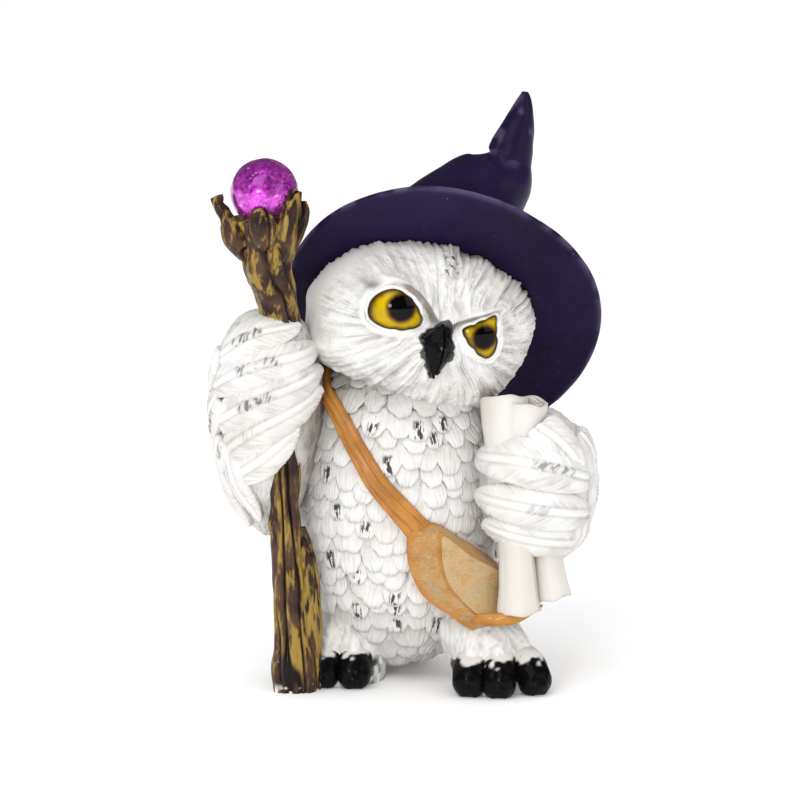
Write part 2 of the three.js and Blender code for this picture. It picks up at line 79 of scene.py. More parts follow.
def flatNoise(x, y, size, seed=0, layer=0):  # noise over two values
    return noise(np.stack([x, y, 0 * x + layer], -1), size, seed)


def lumps(points, size, seed=0):  # three sizes of noise, each half as large as the one before
    size = np.asarray(size, float)
    return sum(noise(points, size / 2**k, seed + k) / 2**k for k in range(3)) / 1.6


def bell(x, width=1.0):  # 1 at 0, falling to 0 a few widths away
    return np.exp(-((x / width) ** 2))


def smoothLine(stops, count, closed=False):  # Catmull-Rom through the stops, evenly in parameter
    stops = np.asarray(stops, float)
    if closed:
        padded = np.vstack([stops[-1:], stops, stops[:2]])
        spans = len(stops)
    else:
        padded = np.vstack([2 * stops[0] - stops[1], stops, 2 * stops[-1] - stops[-2]])
        spans = len(stops) - 1
    s = np.linspace(0, spans, count, endpoint=not closed)
    i = np.minimum(s.astype(int), spans - 1)
    t = (s - i)[:, None]
    a, b, c, d = padded[i], padded[i + 1], padded[i + 2], padded[i + 3]
    return 0.5 * (2 * b + (c - a) * t + (2 * a - 5 * b + 4 * c - d) * t**2 + (3 * b - a - 3 * c + d) * t**3)


def turnZ(degrees):
    c, s = np.cos(np.radians(degrees)), np.sin(np.radians(degrees))
    return np.array([[c, -s, 0], [s, c, 0], [0, 0, 1]])


def turnY(degrees):
    c, s = np.cos(np.radians(degrees)), np.sin(np.radians(degrees))
    return np.array([[c, 0, s], [0, 1, 0], [-s, 0, c]])


# meshes
def gridFaces(rows, columns, wrap=False, start=0):
    i, j = np.meshgrid(np.arange(rows - 1), np.arange(columns if wrap else columns - 1), indexing="ij")
    a = start + i * columns + j
    b = start + i * columns + (j + 1) % columns
    return np.stack([a, b, b + columns, a + columns], -1).reshape(-1, 4)


def finishMesh(name, points, faces, material, paint=None, flat=False):
    # the faces are turned outwards where the skin encloses a negative volume
    points = np.asarray(points, float).reshape(-1, 3)
    faces = faces if isinstance(faces, list) else faces.tolist()
    quads = np.array([f for f in faces if len(f) == 4])
    first = points[quads[:, 0]]
    volume = 0
    for k in (1, 2):
        volume += np.einsum("ij,ij->i", first, np.cross(points[quads[:, k]], points[quads[:, k + 1]])).sum()
    if volume < 0:
        faces = [f[::-1] for f in faces]
    mesh = bpy.data.meshes.new(name)
    mesh.from_pydata(((points + toFrame) * mm).tolist(), [], faces)
    mesh.shade_flat() if flat else mesh.shade_smooth()
    for key, values in (paint or {}).items():
        values = np.broadcast_to(np.asarray(values, float).reshape(-1), (len(points),))
        layer = mesh.attributes.new(key, "FLOAT", "POINT")
        layer.data.foreach_set("value", np.ascontiguousarray(values, dtype=np.float32))
    mesh.materials.append(material)
    piece = bpy.data.objects.new(name, mesh)
    bpy.context.scene.collection.objects.link(piece)
    return piece


def handIn(piece, slot, *nodes):
    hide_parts(*nodes)
    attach(piece, "root")


def capped(rings):  # stacked rings, closed by a fan of triangles at each end
    rows, columns = rings.shape[:2]
    faces = gridFaces(rows, columns, True).tolist()
    first, last = rows * columns, rows * columns + 1
    top = (rows - 1) * columns
    for j in range(columns):
        k = (j + 1) % columns
        faces.append([first, k, j])
        faces.append([last, top + j, top + k])
    points = np.vstack([rings.reshape(-1, 3), rings[0].mean(0), rings[-1].mean(0)])
    return points, faces


def withEnds(values):  # the two end points take the mean paint of the end rings
    if np.ndim(values) == 0:
        return values
    return np.concatenate([values.reshape(-1), [values[0].mean(), values[-1].mean()]])


def ringMesh(name, rings, material, paint=None):  # a closed mesh of stacked rings, painted ring by ring
    layers = {key: withEnds(values) for key, values in (paint or {}).items()}
    return finishMesh(name, *capped(rings), material, layers)


def shell(top, bottom):  # closed skin between two grids of the same size
    rows, columns = top.shape[:2]
    faces = gridFaces(rows, columns)
    under = gridFaces(rows, columns, start=rows * columns)[:, ::-1]
    index = np.arange(rows * columns).reshape(rows, columns)
    rim = np.concatenate([index[0, :-1], index[:-1, -1], index[-1, :0:-1], index[:0:-1, 0]])
    after = np.roll(rim, -1)
    walls = np.stack([after, rim, rim + rows * columns, after + rows * columns], -1)
    return np.vstack([top.reshape(-1, 3), bottom.reshape(-1, 3)]), np.vstack([faces, under, walls])


def shellMesh(name, top, bottom, material, paint):  # the underside takes the same paint as the top
    layers = {key: np.concatenate([values.reshape(-1)] * 2) for key, values in paint.items()}
    return finishMesh(name, *shell(top, bottom), material, layers)


def ballParts(around, rings, gap):
    # x, y and z of directions over a ball, whose poles are left open by the gap
    turns = np.linspace(0, 2 * np.pi, around, endpoint=False)
    turn, tilt = np.meshgrid(turns, np.radians(np.linspace(gap, 180 - gap, rings)))
    return np.sin(tilt) * np.cos(turn), np.sin(tilt) * np.sin(turn), np.cos(tilt)


def spine(stops, rings, start=None):  # a smooth line, its radius and two directions across it
    line = smoothLine([at for at, radius in stops], rings)
    radius = smoothLine([[radius, 0] for at, radius in stops], rings)[:, 0]
    along = unit(np.gradient(line, axis=0))
    if start is not None:
        along[0] = unit(start)
    side = unit(np.cross((0, 1, 0), along))
    return line, radius, side, unit(np.cross(along, side))


def sweep(stops, around, rings, squash=1.0, start=None):
    # round rings along a smooth line: their points, outward directions, angle and radius
    line, radius, side, back = spine(stops, rings, start)
    angle = np.linspace(0, 2 * np.pi, around, endpoint=False)
    out = (np.cos(angle)[None, :, None] * side[:, None]
           + squash * np.sin(angle)[None, :, None] * back[:, None])
    points = line[:, None] + radius[:, None, None] * out
    return points, unit(out), np.broadcast_to(angle, out.shape[:2]), radius


# shader and node graphs
class Field:
    def __init__(self, graph, socket):
        self.graph, self.socket = graph, socket

    def __add__(self, other):
        return self.graph.math("ADD", self, other)

    def __radd__(self, other):
        return self.graph.math("ADD", other, self)

    def __sub__(self, other):
        return self.graph.math("SUBTRACT", self, other)

    def __rsub__(self, other):
        return self.graph.math("SUBTRACT", other, self)

    def __mul__(self, other):
        return self.graph.math("MULTIPLY", self, other)

    def __rmul__(self, other):
        return self.graph.math("MULTIPLY", other, self)

    def __truediv__(self, other):
        return self.graph.math("DIVIDE", self, other)

    def __rtruediv__(self, other):
        return self.graph.math("DIVIDE", other, self)

    def __pow__(self, other):
        return self.graph.math("POWER", self, other)

    def __abs__(self):
        return self.graph.math("ABSOLUTE", self)

    def clamp(self):
        return self.graph.math("MINIMUM", self.graph.math("MAXIMUM", self, 0.0), 1.0)


class Graph:
    def __init__(self, tree):
        self.tree = tree

    def node(self, kind, settings=None, inputs=None):
        made = self.tree.nodes.new(kind)
        for key, value in (settings or {}).items():
            setattr(made, key, value)
        for key, value in (inputs or {}).items():
            socket = made.inputs[key]
            if isinstance(value, Field):
                self.tree.links.new(value.socket, socket)
            elif value is not None:
                socket.default_value = value
        return made

    def get(self, kind, settings=None, inputs=None, output=0):
        return Field(self, self.node(kind, settings, inputs).outputs[output])

    def math(self, operation, *values):
        return self.get("ShaderNodeMath", {"operation": operation}, dict(enumerate(values)))

    def step(self, value, low, high):  # 0 at low, 1 at high, smooth between
        settings = {"interpolation_type": "SMOOTHSTEP"}
        return self.get("ShaderNodeMapRange", settings, {"Value": value, "From Min": low, "From Max": high})

    def mix(self, factor, a, b):  # two colours, b where the factor is 1
        solid = lambda c: c if isinstance(c, Field) else (*c, 1)
        settings = {"data_type": "RGBA", "clamp_factor": True}
        return self.get("ShaderNodeMix", settings, {0: factor, 6: solid(a), 7: solid(b)}, 2)

    def paint(self, name):
        return self.get("ShaderNodeAttribute", {"attribute_name": name}, output="Fac")

    def spot(self, scale, detail=3.0, stretch=None, where=None):  # noise, scale in lumps per metre
        where = where or self.get("ShaderNodeTexCoord", output="Object")
        if stretch:
            where = self.get("ShaderNodeVectorMath", {"operation": "MULTIPLY"}, {0: where, 1: stretch})
        return self.get("ShaderNodeTexNoise", {}, {"Vector": where, "Scale": scale, "Detail": detail})

    def bump(self, height, distance, strength=1.0):
        inputs = {"Height": height, "Distance": distance, "Strength": strength}
        return self.get("ShaderNodeBump", {}, inputs)


def newPaint(name, viewport, **constants):
    material = bpy.data.materials.new(name)
    material.use_nodes = True
    material.diffuse_color = (*viewport, 1)
    graph = Graph(material.node_tree)
    shader = material.node_tree.nodes["Principled BSDF"]
    shader.inputs["Base Color"].default_value = (*viewport, 1)
    for key, value in constants.items():
        shader.inputs[key.replace("_", " ")].default_value = value

    def feed(**links):
        for key, value in links.items():
            graph.tree.links.new(value.socket, shader.inputs[key.replace("_", " ")])

    return material, graph, feed


# paints
# the grey-brown fourth colour is painted shade, laid into grooves, dents and shaded places on the white
whitePaint = {"white": (0.755, 0.75, 0.74), "cream": (0.71, 0.67, 0.62), "wash": (0.22, 0.19, 0.165),
              "ink": (0.035, 0.033, 0.035)}


def featherPaint():
    material, g, feed = newPaint("featherWhite", whitePaint["white"], Coat_Weight=0.12, Coat_Roughness=0.35)
    warm = g.step(g.spot(90), 0.42, 0.68)
    tone = g.mix(warm * 0.55, whitePaint["white"], whitePaint["cream"])
    # painted shade: grey-brown in the grooves and wherever the shade attribute marks dents, the places
    # under the head and hat, and beside the wings
    shadeAmount = (g.paint("groove") * 0.45 + g.paint("wash") * (0.45 + 0.75 * g.spot(420, 4))).clamp()
    tone = g.mix(shadeAmount, tone, whitePaint["wash"])
    tone = g.mix(g.paint("ink").clamp(), tone, whitePaint["ink"])
    grain = g.spot(2600, 2)
    feed(Base_Color=tone, Roughness=0.38 + 0.2 * g.spot(600), Normal=g.bump(grain, 0.00006, 0.6))
    return material


def bellyPaint():  # as featherPaint, with combed lines drawn along each small feather
    material, g, feed = newPaint("bellyFeatherWhite", whitePaint["white"], Coat_Weight=0.12,
                                 Coat_Roughness=0.35)
    place = g.get("ShaderNodeAttribute", {"attribute_name": "quill"}, output="Vector")
    part = g.node("ShaderNodeSeparateXYZ", {}, {0: place})
    across, along = Field(g, part.outputs[0]), Field(g, part.outputs[1])
    place = g.get("ShaderNodeCombineXYZ", {}, {0: across, 1: along, 2: g.paint("shift")})
    combed = g.spot(1.0, 3.0, (11.0, 1.6, 1.0), place)
    warm = g.step(g.spot(110), 0.42, 0.66)
    tone = g.mix(warm * 0.5, whitePaint["white"], whitePaint["cream"])
    # painted shade: darker at each small feather's root under the row above, in the combed lines, and where
    # the shade attribute is set
    root = 1 - g.step(along, 0.35, 0.72)
    shadeAmount = (root * 0.12 + (0.52 - combed).clamp() * 0.7
             + g.paint("wash") * (0.3 + 0.5 * g.spot(380, 4))).clamp()
    tone = g.mix(shadeAmount, tone, whitePaint["wash"])
    strokes = g.step(g.spot(1.0, 3.0, (10.0, 3.0, 1.0), place), 0.47, 0.53)
    window = g.step(abs(across - 0.5), 0.26, 0.1) * g.step(along, 0.3, 0.45) * g.step(along, 1.0, 0.9)
    tone = g.mix(strokes * window * g.paint("ink"), tone, whitePaint["ink"])
    feed(Base_Color=tone, Roughness=0.4 + 0.18 * g.spot(600), Normal=g.bump(combed, 0.0005, 0.9))
    return material


def eyePaint(name, centre, gaze, pupil):
    material, g, feed = newPaint(name, (0.4, 0.3, 0.01), Roughness=0.08, Specular_IOR_Level=0.06,
                                 Coat_Weight=0.22, Coat_Roughness=0.03)
    place = g.get("ShaderNodeTexCoord", output="Object")
    out = g.get("ShaderNodeVectorMath", {"operation": "SUBTRACT"}, {0: place, 1: centre})
    out = g.get("ShaderNodeVectorMath", {"operation": "NORMALIZE"}, {0: out})
    facing = g.get("ShaderNodeVectorMath", {"operation": "DOT_PRODUCT"}, {0: out, 1: gaze}, "Value")
    angle = g.math("ARCCOSINE", facing) + (g.spot(900, 2) - 0.5) * 0.05
    iris = g.mix(g.spot(420, 3), (0.62, 0.42, 0.004), (0.36, 0.23, 0.003))
    iris = g.mix(g.step(angle, pupil + 0.20, pupil), iris, (0.06, 0.02, 0.004))
    iris = g.mix(g.step(angle, pupil + 0.04, pupil - 0.04), iris, (0.001, 0.001, 0.001))
    iris = g.mix(g.paint("rim").clamp() * 0.95, iris, (0.012, 0.005, 0.002))
    feed(Base_Color=iris)
    return material


def blackPaint():
    material, g, feed = newPaint("glossBlack", (0.012, 0.012, 0.013), Specular_IOR_Level=0.03,
                                 Coat_Weight=0.12, Coat_Roughness=0.12)
    # rubbed wear: lighter patches on the black paint
    worn = g.step(g.spot(700, 4), 0.62, 0.76)
    tone = g.mix(worn * 0.2, (0.003, 0.003, 0.0035), (0.07, 0.07, 0.075))
    tone = g.mix(g.paint("chip").clamp(), tone, (0.62, 0.60, 0.57))
    feed(Base_Color=tone, Roughness=0.2 + 0.25 * g.spot(500), Normal=g.bump(g.spot(900, 3), 0.00035, 0.7))
    return material


def hatPaint():
    material, g, feed = newPaint("hatPurple", (0.03, 0.016, 0.07), Specular_IOR_Level=0.1, Coat_Weight=0.08,
                                 Coat_Roughness=0.22)
    tone = g.mix(g.step(g.spot(45, 3), 0.35, 0.7), (0.009, 0.0045, 0.024), (0.016, 0.008, 0.041))
    # lighter purple on the marked patches: along the brim's rim edge this is rubbed wear and a painted
    # highlight together
    tone = g.mix(g.paint("worn").clamp() * 0.5, tone, (0.16, 0.12, 0.24))
    fleck = g.step(g.spot(1500, 2), 0.785, 0.80)
    tone = g.mix(fleck * 0.6, tone, (0.5, 0.5, 0.52))
    feed(Base_Color=tone, Roughness=0.3 + 0.22 * g.spot(120, 4), Normal=g.bump(g.spot(260, 4), 0.0004, 0.5))
    return material


def barkPaint():
    material, g, feed = newPaint("barkBrown", (0.09, 0.055, 0.03), Specular_IOR_Level=0.12, Coat_Weight=0.2,
                                 Coat_Roughness=0.2)
    streak = g.spot(900, 4, (1.0, 1.0, 0.22))
    base = g.mix(g.step(g.spot(160), 0.35, 0.68), (0.022, 0.010, 0.007), (0.075, 0.038, 0.022))
    # painted shade: near black in the bark's grooves
    base = g.mix(g.step(g.paint("ridge"), 0.35, 0.0), base, (0.006, 0.003, 0.002))
    patch = g.spot(300, 5, (1.0, 1.0, 0.2))
    drag = 0.5 * streak + 0.5 * patch + 0.12 * g.spot(60)
    brushed = (g.step(g.paint("ridge"), 0.2, 0.75) * g.step(drag, 0.54, 0.64)).clamp()
    tone = g.mix(brushed * 0.85, base, (0.34, 0.22, 0.04))
    tone = g.mix(g.paint("chip").clamp(), tone, (0.75, 0.72, 0.66))
    feed(Base_Color=tone, Roughness=0.3 + 0.3 * g.spot(420), Normal=g.bump(streak, 0.0006, 0.8))
    return material


def orbPaint():
    material, g, feed = newPaint("orbFoil", (0.42, 0.02, 0.40), Metallic=0.7, Coat_Weight=1.0,
                                 Coat_Roughness=0.06)
    where = g.get("ShaderNodeTexCoord", output="Object")
    flake = g.get("ShaderNodeTexVoronoi", {}, {"Vector": where, "Scale": 1500.0}, "Color")
    part = Field(g, g.node("ShaderNodeSeparateXYZ", {}, {0: flake}).outputs[0])
    tone = g.mix(part, (0.38, 0.012, 0.39), (0.80, 0.09, 0.74))
    tone = g.mix(g.step(g.spot(260, 3), 0.42, 0.66) * 0.6, tone, (0.24, 0.003, 0.27))
    # painted glints: near-white flecks on the foil
    tone = g.mix(g.step(part * g.spot(900), 0.5, 0.58) * 0.6, tone, (1.0, 0.5, 0.95))
    crinkle = g.get("ShaderNodeTexVoronoi", {}, {"Vector": where, "Scale": 420.0}, "Distance")
    foil = crinkle + 0.5 * g.spot(1400)
    feed(Base_Color=tone, Roughness=0.24 + 0.2 * part, Normal=g.bump(foil, 0.0005, 0.45))
    return material


def tanPaint(name, dry):
    material, g, feed = newPaint(name, (0.50, 0.24, 0.06), Specular_IOR_Level=0.3, Coat_Weight=0.35,
                                 Coat_Roughness=0.15)
    tone = g.mix(g.step(g.spot(200, 4), 0.35, 0.7), (0.48, 0.20, 0.026), (0.36, 0.14, 0.018))
    scrub = g.spot(1500, 5, (1.0, 1.0, 1.8)) * 0.6 + g.spot(420, 4) * 0.4
    tone = g.mix(g.step(scrub + g.paint("dry") * 0.5, 0.60, 0.95) * dry * 0.9, tone, (0.45, 0.34, 0.18))
    # painted shade: dark brown in the carved grooves and on the bag's sloping sides and front edge
    tone = g.mix(g.paint("groove").clamp() * 0.55, tone, (0.17, 0.07, 0.015))
    feed(Base_Color=tone, Roughness=0.36 + 0.2 * g.spot(300), Normal=g.bump(scrub, 0.0003, 0.5))
    return material


def parchmentPaint():
    material, g, feed = newPaint("parchment", (0.84, 0.79, 0.73), Coat_Weight=0.12, Coat_Roughness=0.35)
    tone = g.mix(g.step(g.spot(60, 4), 0.35, 0.7), (0.65, 0.63, 0.60), (0.61, 0.57, 0.52))
    # painted shade: brown near the rolls' ends and on the inner face of the sheet
    tone = g.mix(g.paint("groove").clamp() * 0.5, tone, (0.42, 0.30, 0.22))
    feed(Base_Color=tone, Roughness=0.4 + 0.15 * g.spot(500), Normal=g.bump(g.spot(900, 3), 0.0001, 0.6))
    return material


featherWhite, bellyWhite, glossBlack, hatPurple = featherPaint(), bellyPaint(), blackPaint(), hatPaint()
barkBrown, orbFoil, parchment = barkPaint(), orbPaint(), parchmentPaint()
strapTan, bagTan = tanPaint("strapTan", 0.25), tanPaint("bagTan", 1.0)
print("paints ready")

# egg-shaped volumes
torso = {"centre": (-1.5, 0, 38), "rx": 23.6, "ry": 22, "up": 40, "down": 35, "powerUp": 2.6,
         "powerDown": 2.2}
rightGrip = {"centre": (-31.2, -9, 64), "rx": 12.6, "ry": 14, "up": 23, "down": 30, "powerUp": 2.6,
             "powerDown": 1.7}
leftGrip = {"centre": (29.5, -10.5, 47.5), "rx": 12.8, "ry": 14.2, "up": 17, "down": 18, "powerUp": 2.3,
            "powerDown": 2.3}


def waist(egg, z):
    z = np.asarray(z, float)
    reach = np.where(z >= 0, egg["up"], egg["down"])
    power = np.where(z >= 0, egg["powerUp"], egg["powerDown"])
    return np.maximum(0, 1 - (np.abs(z) / reach) ** power) ** (1 / power)


def eggPoint(egg, turn, z):
    s = waist(egg, z)
    return (np.stack([egg["rx"] * s * np.sin(turn), -egg["ry"] * s * np.cos(turn), z + 0 * s], -1)
            + egg["centre"])


def eggNormal(egg, turn, z, h=1e-3):
    across = eggPoint(egg, turn + h, z) - eggPoint(egg, turn - h, z)
    upward = eggPoint(egg, turn, z + h) - eggPoint(egg, turn, z - h)
    return unit(np.cross(across, upward))


def ontoEgg(egg, points, lift):
    p = np.asarray(points) - egg["centre"]
    z = np.clip(p[..., 2], -egg["down"] * 0.985, egg["up"] * 0.985)
    turn = np.arctan2(p[..., 0] / egg["rx"], -p[..., 1] / egg["ry"])
    return eggPoint(egg, turn, z) + np.asarray(lift)[..., None] * eggNormal(egg, turn, z)


def seenAt(egg, x, z):  # the turn (degrees) and height at which the egg is seen from the front
    height = z - egg["centre"][2]
    share = np.clip((x - egg["centre"][0]) / (egg["rx"] * waist(egg, height)), -0.995, 0.995)
    return np.degrees(np.arcsin(share)), height


def eggSkin(egg, around, rings):
    tilt = np.linspace(-np.pi / 2, np.pi / 2, rings + 2)[1:-1]
    z = np.where(tilt < 0, egg["down"], egg["up"]) * np.sin(tilt)
    turn, z = np.meshgrid(np.linspace(0, 2 * np.pi, around, endpoint=False), z)
    return eggPoint(egg, turn, z), eggNormal(egg, turn, z)


# blades: feathers and straps laid on an egg
feather = {"rows": 200, "columns": 57, "thick": 1.15, "barb": 0.72, "slant": 1.3, "shaft": 0.34,
           "notch": 0.10}


def featherShape(u):
    return np.sin(np.pi * (0.14 + 0.83 * u)) ** 0.62


def bladeGrid(egg, stops, half, thick, rows, columns, lean=0.0, relief=None, body=0.3, edge=0.85,
              notch=None):
    # stops are (turn in degrees, height above the egg's centre); gives the top, the bottom and the paint
    stops = [(np.radians(turn), z) for turn, z in stops]
    path = smoothLine(stops, rows)
    centre, out = eggPoint(egg, path[:, 0], path[:, 1]), eggNormal(egg, path[:, 0], path[:, 1])
    along = unit(np.gradient(centre, axis=0))
    side = unit(np.cross(out, along))
    run = np.concatenate([[0], np.cumsum(np.linalg.norm(np.diff(centre, axis=0), axis=1))])
    u = np.linspace(0, 1, rows)[:, None] * np.ones(columns)
    v = np.sin(np.linspace(-np.pi / 2, np.pi / 2, columns) * 0.86) / np.sin(0.86 * np.pi / 2)
    v = np.ones((rows, 1)) * v
    width = half(u) * (1 - (notch(u, v) if notch is not None else 0))
    across = v * width
    place = {"u": u, "v": v, "run": run[:, None] * np.ones(columns), "across": across}
    q = centre[:, None] + across[..., None] * side[:, None]
    rise = abs(lean) * (1 + np.sign(lean) * v) / 2
    height = thick * (1 - edge * np.abs(v) ** 3) * (0.55 + 0.45 * np.sin(np.pi * np.minimum(1, 1.1 * u)))
    carved, paint = relief(place) if relief else (0, {})
    top = ontoEgg(egg, q, body + rise + height + carved)
    bottom = ontoEgg(egg, q, 0 * u - 0.4)
    return top, bottom, paint


def bladePiece(name, egg, stops, half, material, thick, rows, columns, **extra):
    top, bottom, paint = bladeGrid(egg, stops, half, thick, rows, columns, **extra)
    return shellMesh(name, top, bottom, material, paint)


def featherRelief(seed, ink, inkSpan=(0.3, 0.75), inkAcross=0.0, wash=0.0):
    def relief(place):
        run, across, u, v = place["run"], place["across"], place["u"], place["v"]
        wobble = flatNoise(run, across, 2.2, seed, layer=seed)
        phase = (run - feather["slant"] * np.abs(across)) / feather["barb"] + 0.35 * wobble
        barb = 0.5 + 0.5 * np.cos(2 * np.pi * phase)
        fine = flatNoise((run - feather["slant"] * np.abs(across)) * 3.2, across * 0.5, 1.0, seed + 5)
        window = ease(0.5, 1.1, np.abs(across)) * (1 - ease(0.86, 1.0, np.abs(v)))
        shaft = bell(across, feather["shaft"]) * (1 - ease(0.85, 1, u))
        gutter = bell(np.abs(across) - 0.95, 0.3) * (1 - ease(0.8, 1, u))
        patchy = 0.35 + 0.65 * ease(-0.5, 0.4, flatNoise(run, across, (3.5, 2.2, 1), seed + 13))
        carved = window * patchy * (0.25 * barb + 0.2 * fine) + 0.22 * shaft - 0.22 * gutter + 0.14 * wobble
        # painted shade in the barb valleys, the gutters beside the edges and along the edges
        groove = (window * patchy * (0.45 * (1 - barb) ** 2 + 0.5 * np.maximum(0, -fine)) + 0.5 * gutter
                  + 0.35 * ease(0.86, 1.0, np.abs(v)))
        scratch = flatNoise(run - 0.75 * across, across * 0.30, 0.36, seed + 9)
        inside = ease(inkSpan[0], inkSpan[0] + 0.05, u) * (1 - ease(inkSpan[1] - 0.05, inkSpan[1], u))
        aside = np.abs(across - inkAcross) + 0.5 * flatNoise(run, across, 0.6, seed + 4)
        inside = inside * ease(1.15, 0.75, aside)
        marks = ink * inside * (0.22 + 0.78 * ease(0.0, 0.12, scratch))
        # painted shade in blotches over the feather, as strong as its shade argument
        blotchyShade = wash * ease(0.1, 0.9, flatNoise(run, across, 4.0, seed + 3) * 0.5 + 0.5)
        return carved, {"groove": groove, "ink": marks, "wash": blotchyShade + 0 * u}
    return relief


def featherNotch(seed):
    def notch(u, v):
        jag = np.abs(flatNoise(u * 26, np.sign(v) * 3, 1.0, seed + 21))
        return feather["notch"] * jag * ease(0.2, 0.5, u)
    return notch


def featherPiece(name, egg, stops, width, lean, seed, ink=0.0, **marks):
    half = lambda u: 1.12 * width * featherShape(u)
    relief, notch = featherRelief(seed, ink, **marks), featherNotch(seed)
    return bladePiece(name, egg, stops, half, featherWhite, feather["thick"], feather["rows"],
                      feather["columns"], lean=lean, relief=relief, notch=notch)


# wings
wings = {
    "right": {
        "egg": rightGrip,
        "finger": [
            ([(-40.8, 77.6), (-33.6, 82.4), (-25, 84.2)], 4.3, dict(ink=0.8, inkSpan=(0.2, 0.6))),
            ([(-42.4, 70.4), (-32.8, 76.2), (-20.8, 79.2)], 4.2, dict(ink=0.8, inkSpan=(0.3, 0.66))),
            ([(-41.4, 62.8), (-32, 69), (-20, 74.4)], 4.4, dict(ink=0.8, inkSpan=(0.26, 0.6), wash=0.15)),
            ([(-39.6, 56.6), (-30.6, 63.6), (-20, 70)], 4.4, dict(ink=0.25, inkSpan=(0.2, 0.4), wash=0.2)),
            ([(-37.6, 50.4), (-31.4, 56), (-25, 62.4)], 4.0, {}),
        ],
        "covert": [
            ([(-72, 78.5), (-76, 74), (-80, 68.5)], 3.2, {}),
            ([(-60, 68.4), (-70, 64), (-84, 57.6)], 4.4, dict(ink=0.8, inkSpan=(0.3, 0.8), inkAcross=1.6)),
            ([(-58, 59), (-66, 55), (-78, 50)], 4.2, dict(ink=0.5, inkSpan=(0.1, 0.5), inkAcross=1.8)),
            ([(-118, 76), (-122, 68), (-128, 56)], 5.2, {}),
            ([(-152, 74), (-156, 66), (-160, 54)], 5.2, {}),
        ],
        "primary": [
            ([(-46, 57), (-40, 48), (-18, 40)], 3.0, {}),
            ([(-76, 52), (-72, 44), (-50, 38)], 3.4, {}),
            ([(-116, 56), (-112, 46), (-96, 38.5)], 4.0, {}),
        ],
    },
    "left": {
        "egg": leftGrip,
        "finger": [
            ([(40.4, 50), (27, 54.4), (17.2, 53.8)], 4.9, dict(ink=0.65, inkSpan=(0.12, 0.46))),
            ([(40.2, 41.6), (27, 44.6), (17.2, 45.4)], 4.3, dict(ink=0.3, inkSpan=(0.3, 0.5))),
            ([(38, 34.8), (27, 37.4), (18.8, 39)], 3.8, {}),
        ],
        "covert": [
            ([(4, 61.4), (24, 58.6), (52, 52.4)], 4.4, {}),
            ([(66, 59), (74, 55), (84, 49)], 4.2, {}),
            ([(88, 51), (88, 44), (84, 36)], 3.8, dict(ink=0.5, inkSpan=(0.3, 0.6))),
            ([(118, 58), (122, 50), (126, 42)], 5.0, {}),
            ([(152, 58), (156, 50), (160, 40)], 5.0, {}),
        ],
        "primary": [
            ([(62, 40), (64, 35), (60, 31.5)], 3.4, {}),
            ([(106, 42), (104, 36), (98, 31.5)], 3.8, {}),
            ([(146, 42), (142, 36), (136, 31.5)], 3.8, {}),
        ],
    },
}


def makeWing(side, wing, seed):
    egg = wing["egg"]
    points, out = eggSkin(egg, 150, 130)
    hair = noise(points * (1.6, 1.6, 0.3), 0.7, seed)
    rough = lumps(points, 5.0, seed + 2)
    points = points + out * (0.22 * hair + 0.35 * rough - 0.1)[..., None]
    # painted shade: a grey base, more in the dents, and a strong band on the right wing's core next to the
    # chest
    shade = ease(-26, -21, points[..., 0]) * ease(84, 72, points[..., 2]) * (side == "right")
    wash = 0.25 + 0.3 * np.maximum(0, -rough) + 0.7 * shade
    paint = {"groove": np.maximum(0, -hair), "wash": wash, "ink": 0.0}
    handIn(ringMesh(f"{side}WingCore", points, featherWhite, paint), "feather_white", f"{side}_wing")
    overlap = 0.85 if side == "right" else 1.2
    for kind in ("finger", "covert", "primary"):
        for k, (stops, width, marks) in enumerate(wing[kind]):
            seed += 1
            if kind == "finger":
                path = [seenAt(egg, x, height) for x, height in stops]
                lean = -overlap if side == "right" else overlap
            else:
                path, lean = [(turned, height - egg["centre"][2]) for turned, height in stops], overlap
            piece = featherPiece(f"{side}Wing{kind.title()}{k + 1}", egg, path, width, lean, seed, **marks)
            handIn(piece, "feather_white", f"{side}_wing_{kind}_{k + 1}")


makeWing("right", wings["right"], 30)
makeWing("left", wings["left"], 60)
print("wings ready")

# head
face = {"centre": (3.2, -2, 83.2), "radii": (26.8, 23, 19), "yaw": 13, "roll": 20, "skullRoll": -14,
        "hair": 0.13, "tuft": 0.22, "brow": 1.7, "lid": 0.4, "slant": 0.24}
# sides are -1 for the owl's right and 1 for its left
eye = {"spacing": 19.2, "across": -1.5, "forward": 16.8, "up": 2.8, "radius": 7.4,
       "pupil": {-1: 0.39, 1: 0.39 - 0.05},
       "look": {-1: (-0.05, -0.994, 0.09), 1: (0.14, -0.99, 0.02)}}
# openings as angle: radius round each eye, angles from the outer corner; brows as (outward, up)
eyeOpening = {
    -1: {-27: 6.9, 2: 6.6, 23: 6.0, 52: 5.2, 86: 3.9, 129: 3.4, 169: 4.4, 184: 5.9, 198: 6.2, 224: 4.8,
         267: 4.4, 303: 5.8, 320: 6.8},
    1: {176: 4.4, 136: 3.2, 91: 4.0, 64: 6.4, 55: 5.0, 22: 3.9, -13: 4.9, -34: 5.8, -49: 5.8, -66: 4.6,
        -97: 3.2, -152: 3.2},
}
browLine = {-1: [(-8.4, 0.2), (-6.6, 1.9), (-5.3, 2.9), (-3.7, 3.9), (-0.8, 4.8), (3.0, 4.8), (6.2, 4.8),
                 (8.5, 4.2)],
            1: [(-8, -0.4), (-6.2, 1.2), (-3.7, 2.9), (-0.6, 4.7), (2.4, 6.4), (5, 6.6), (8, 5.2),
                (10, 4.0)]}
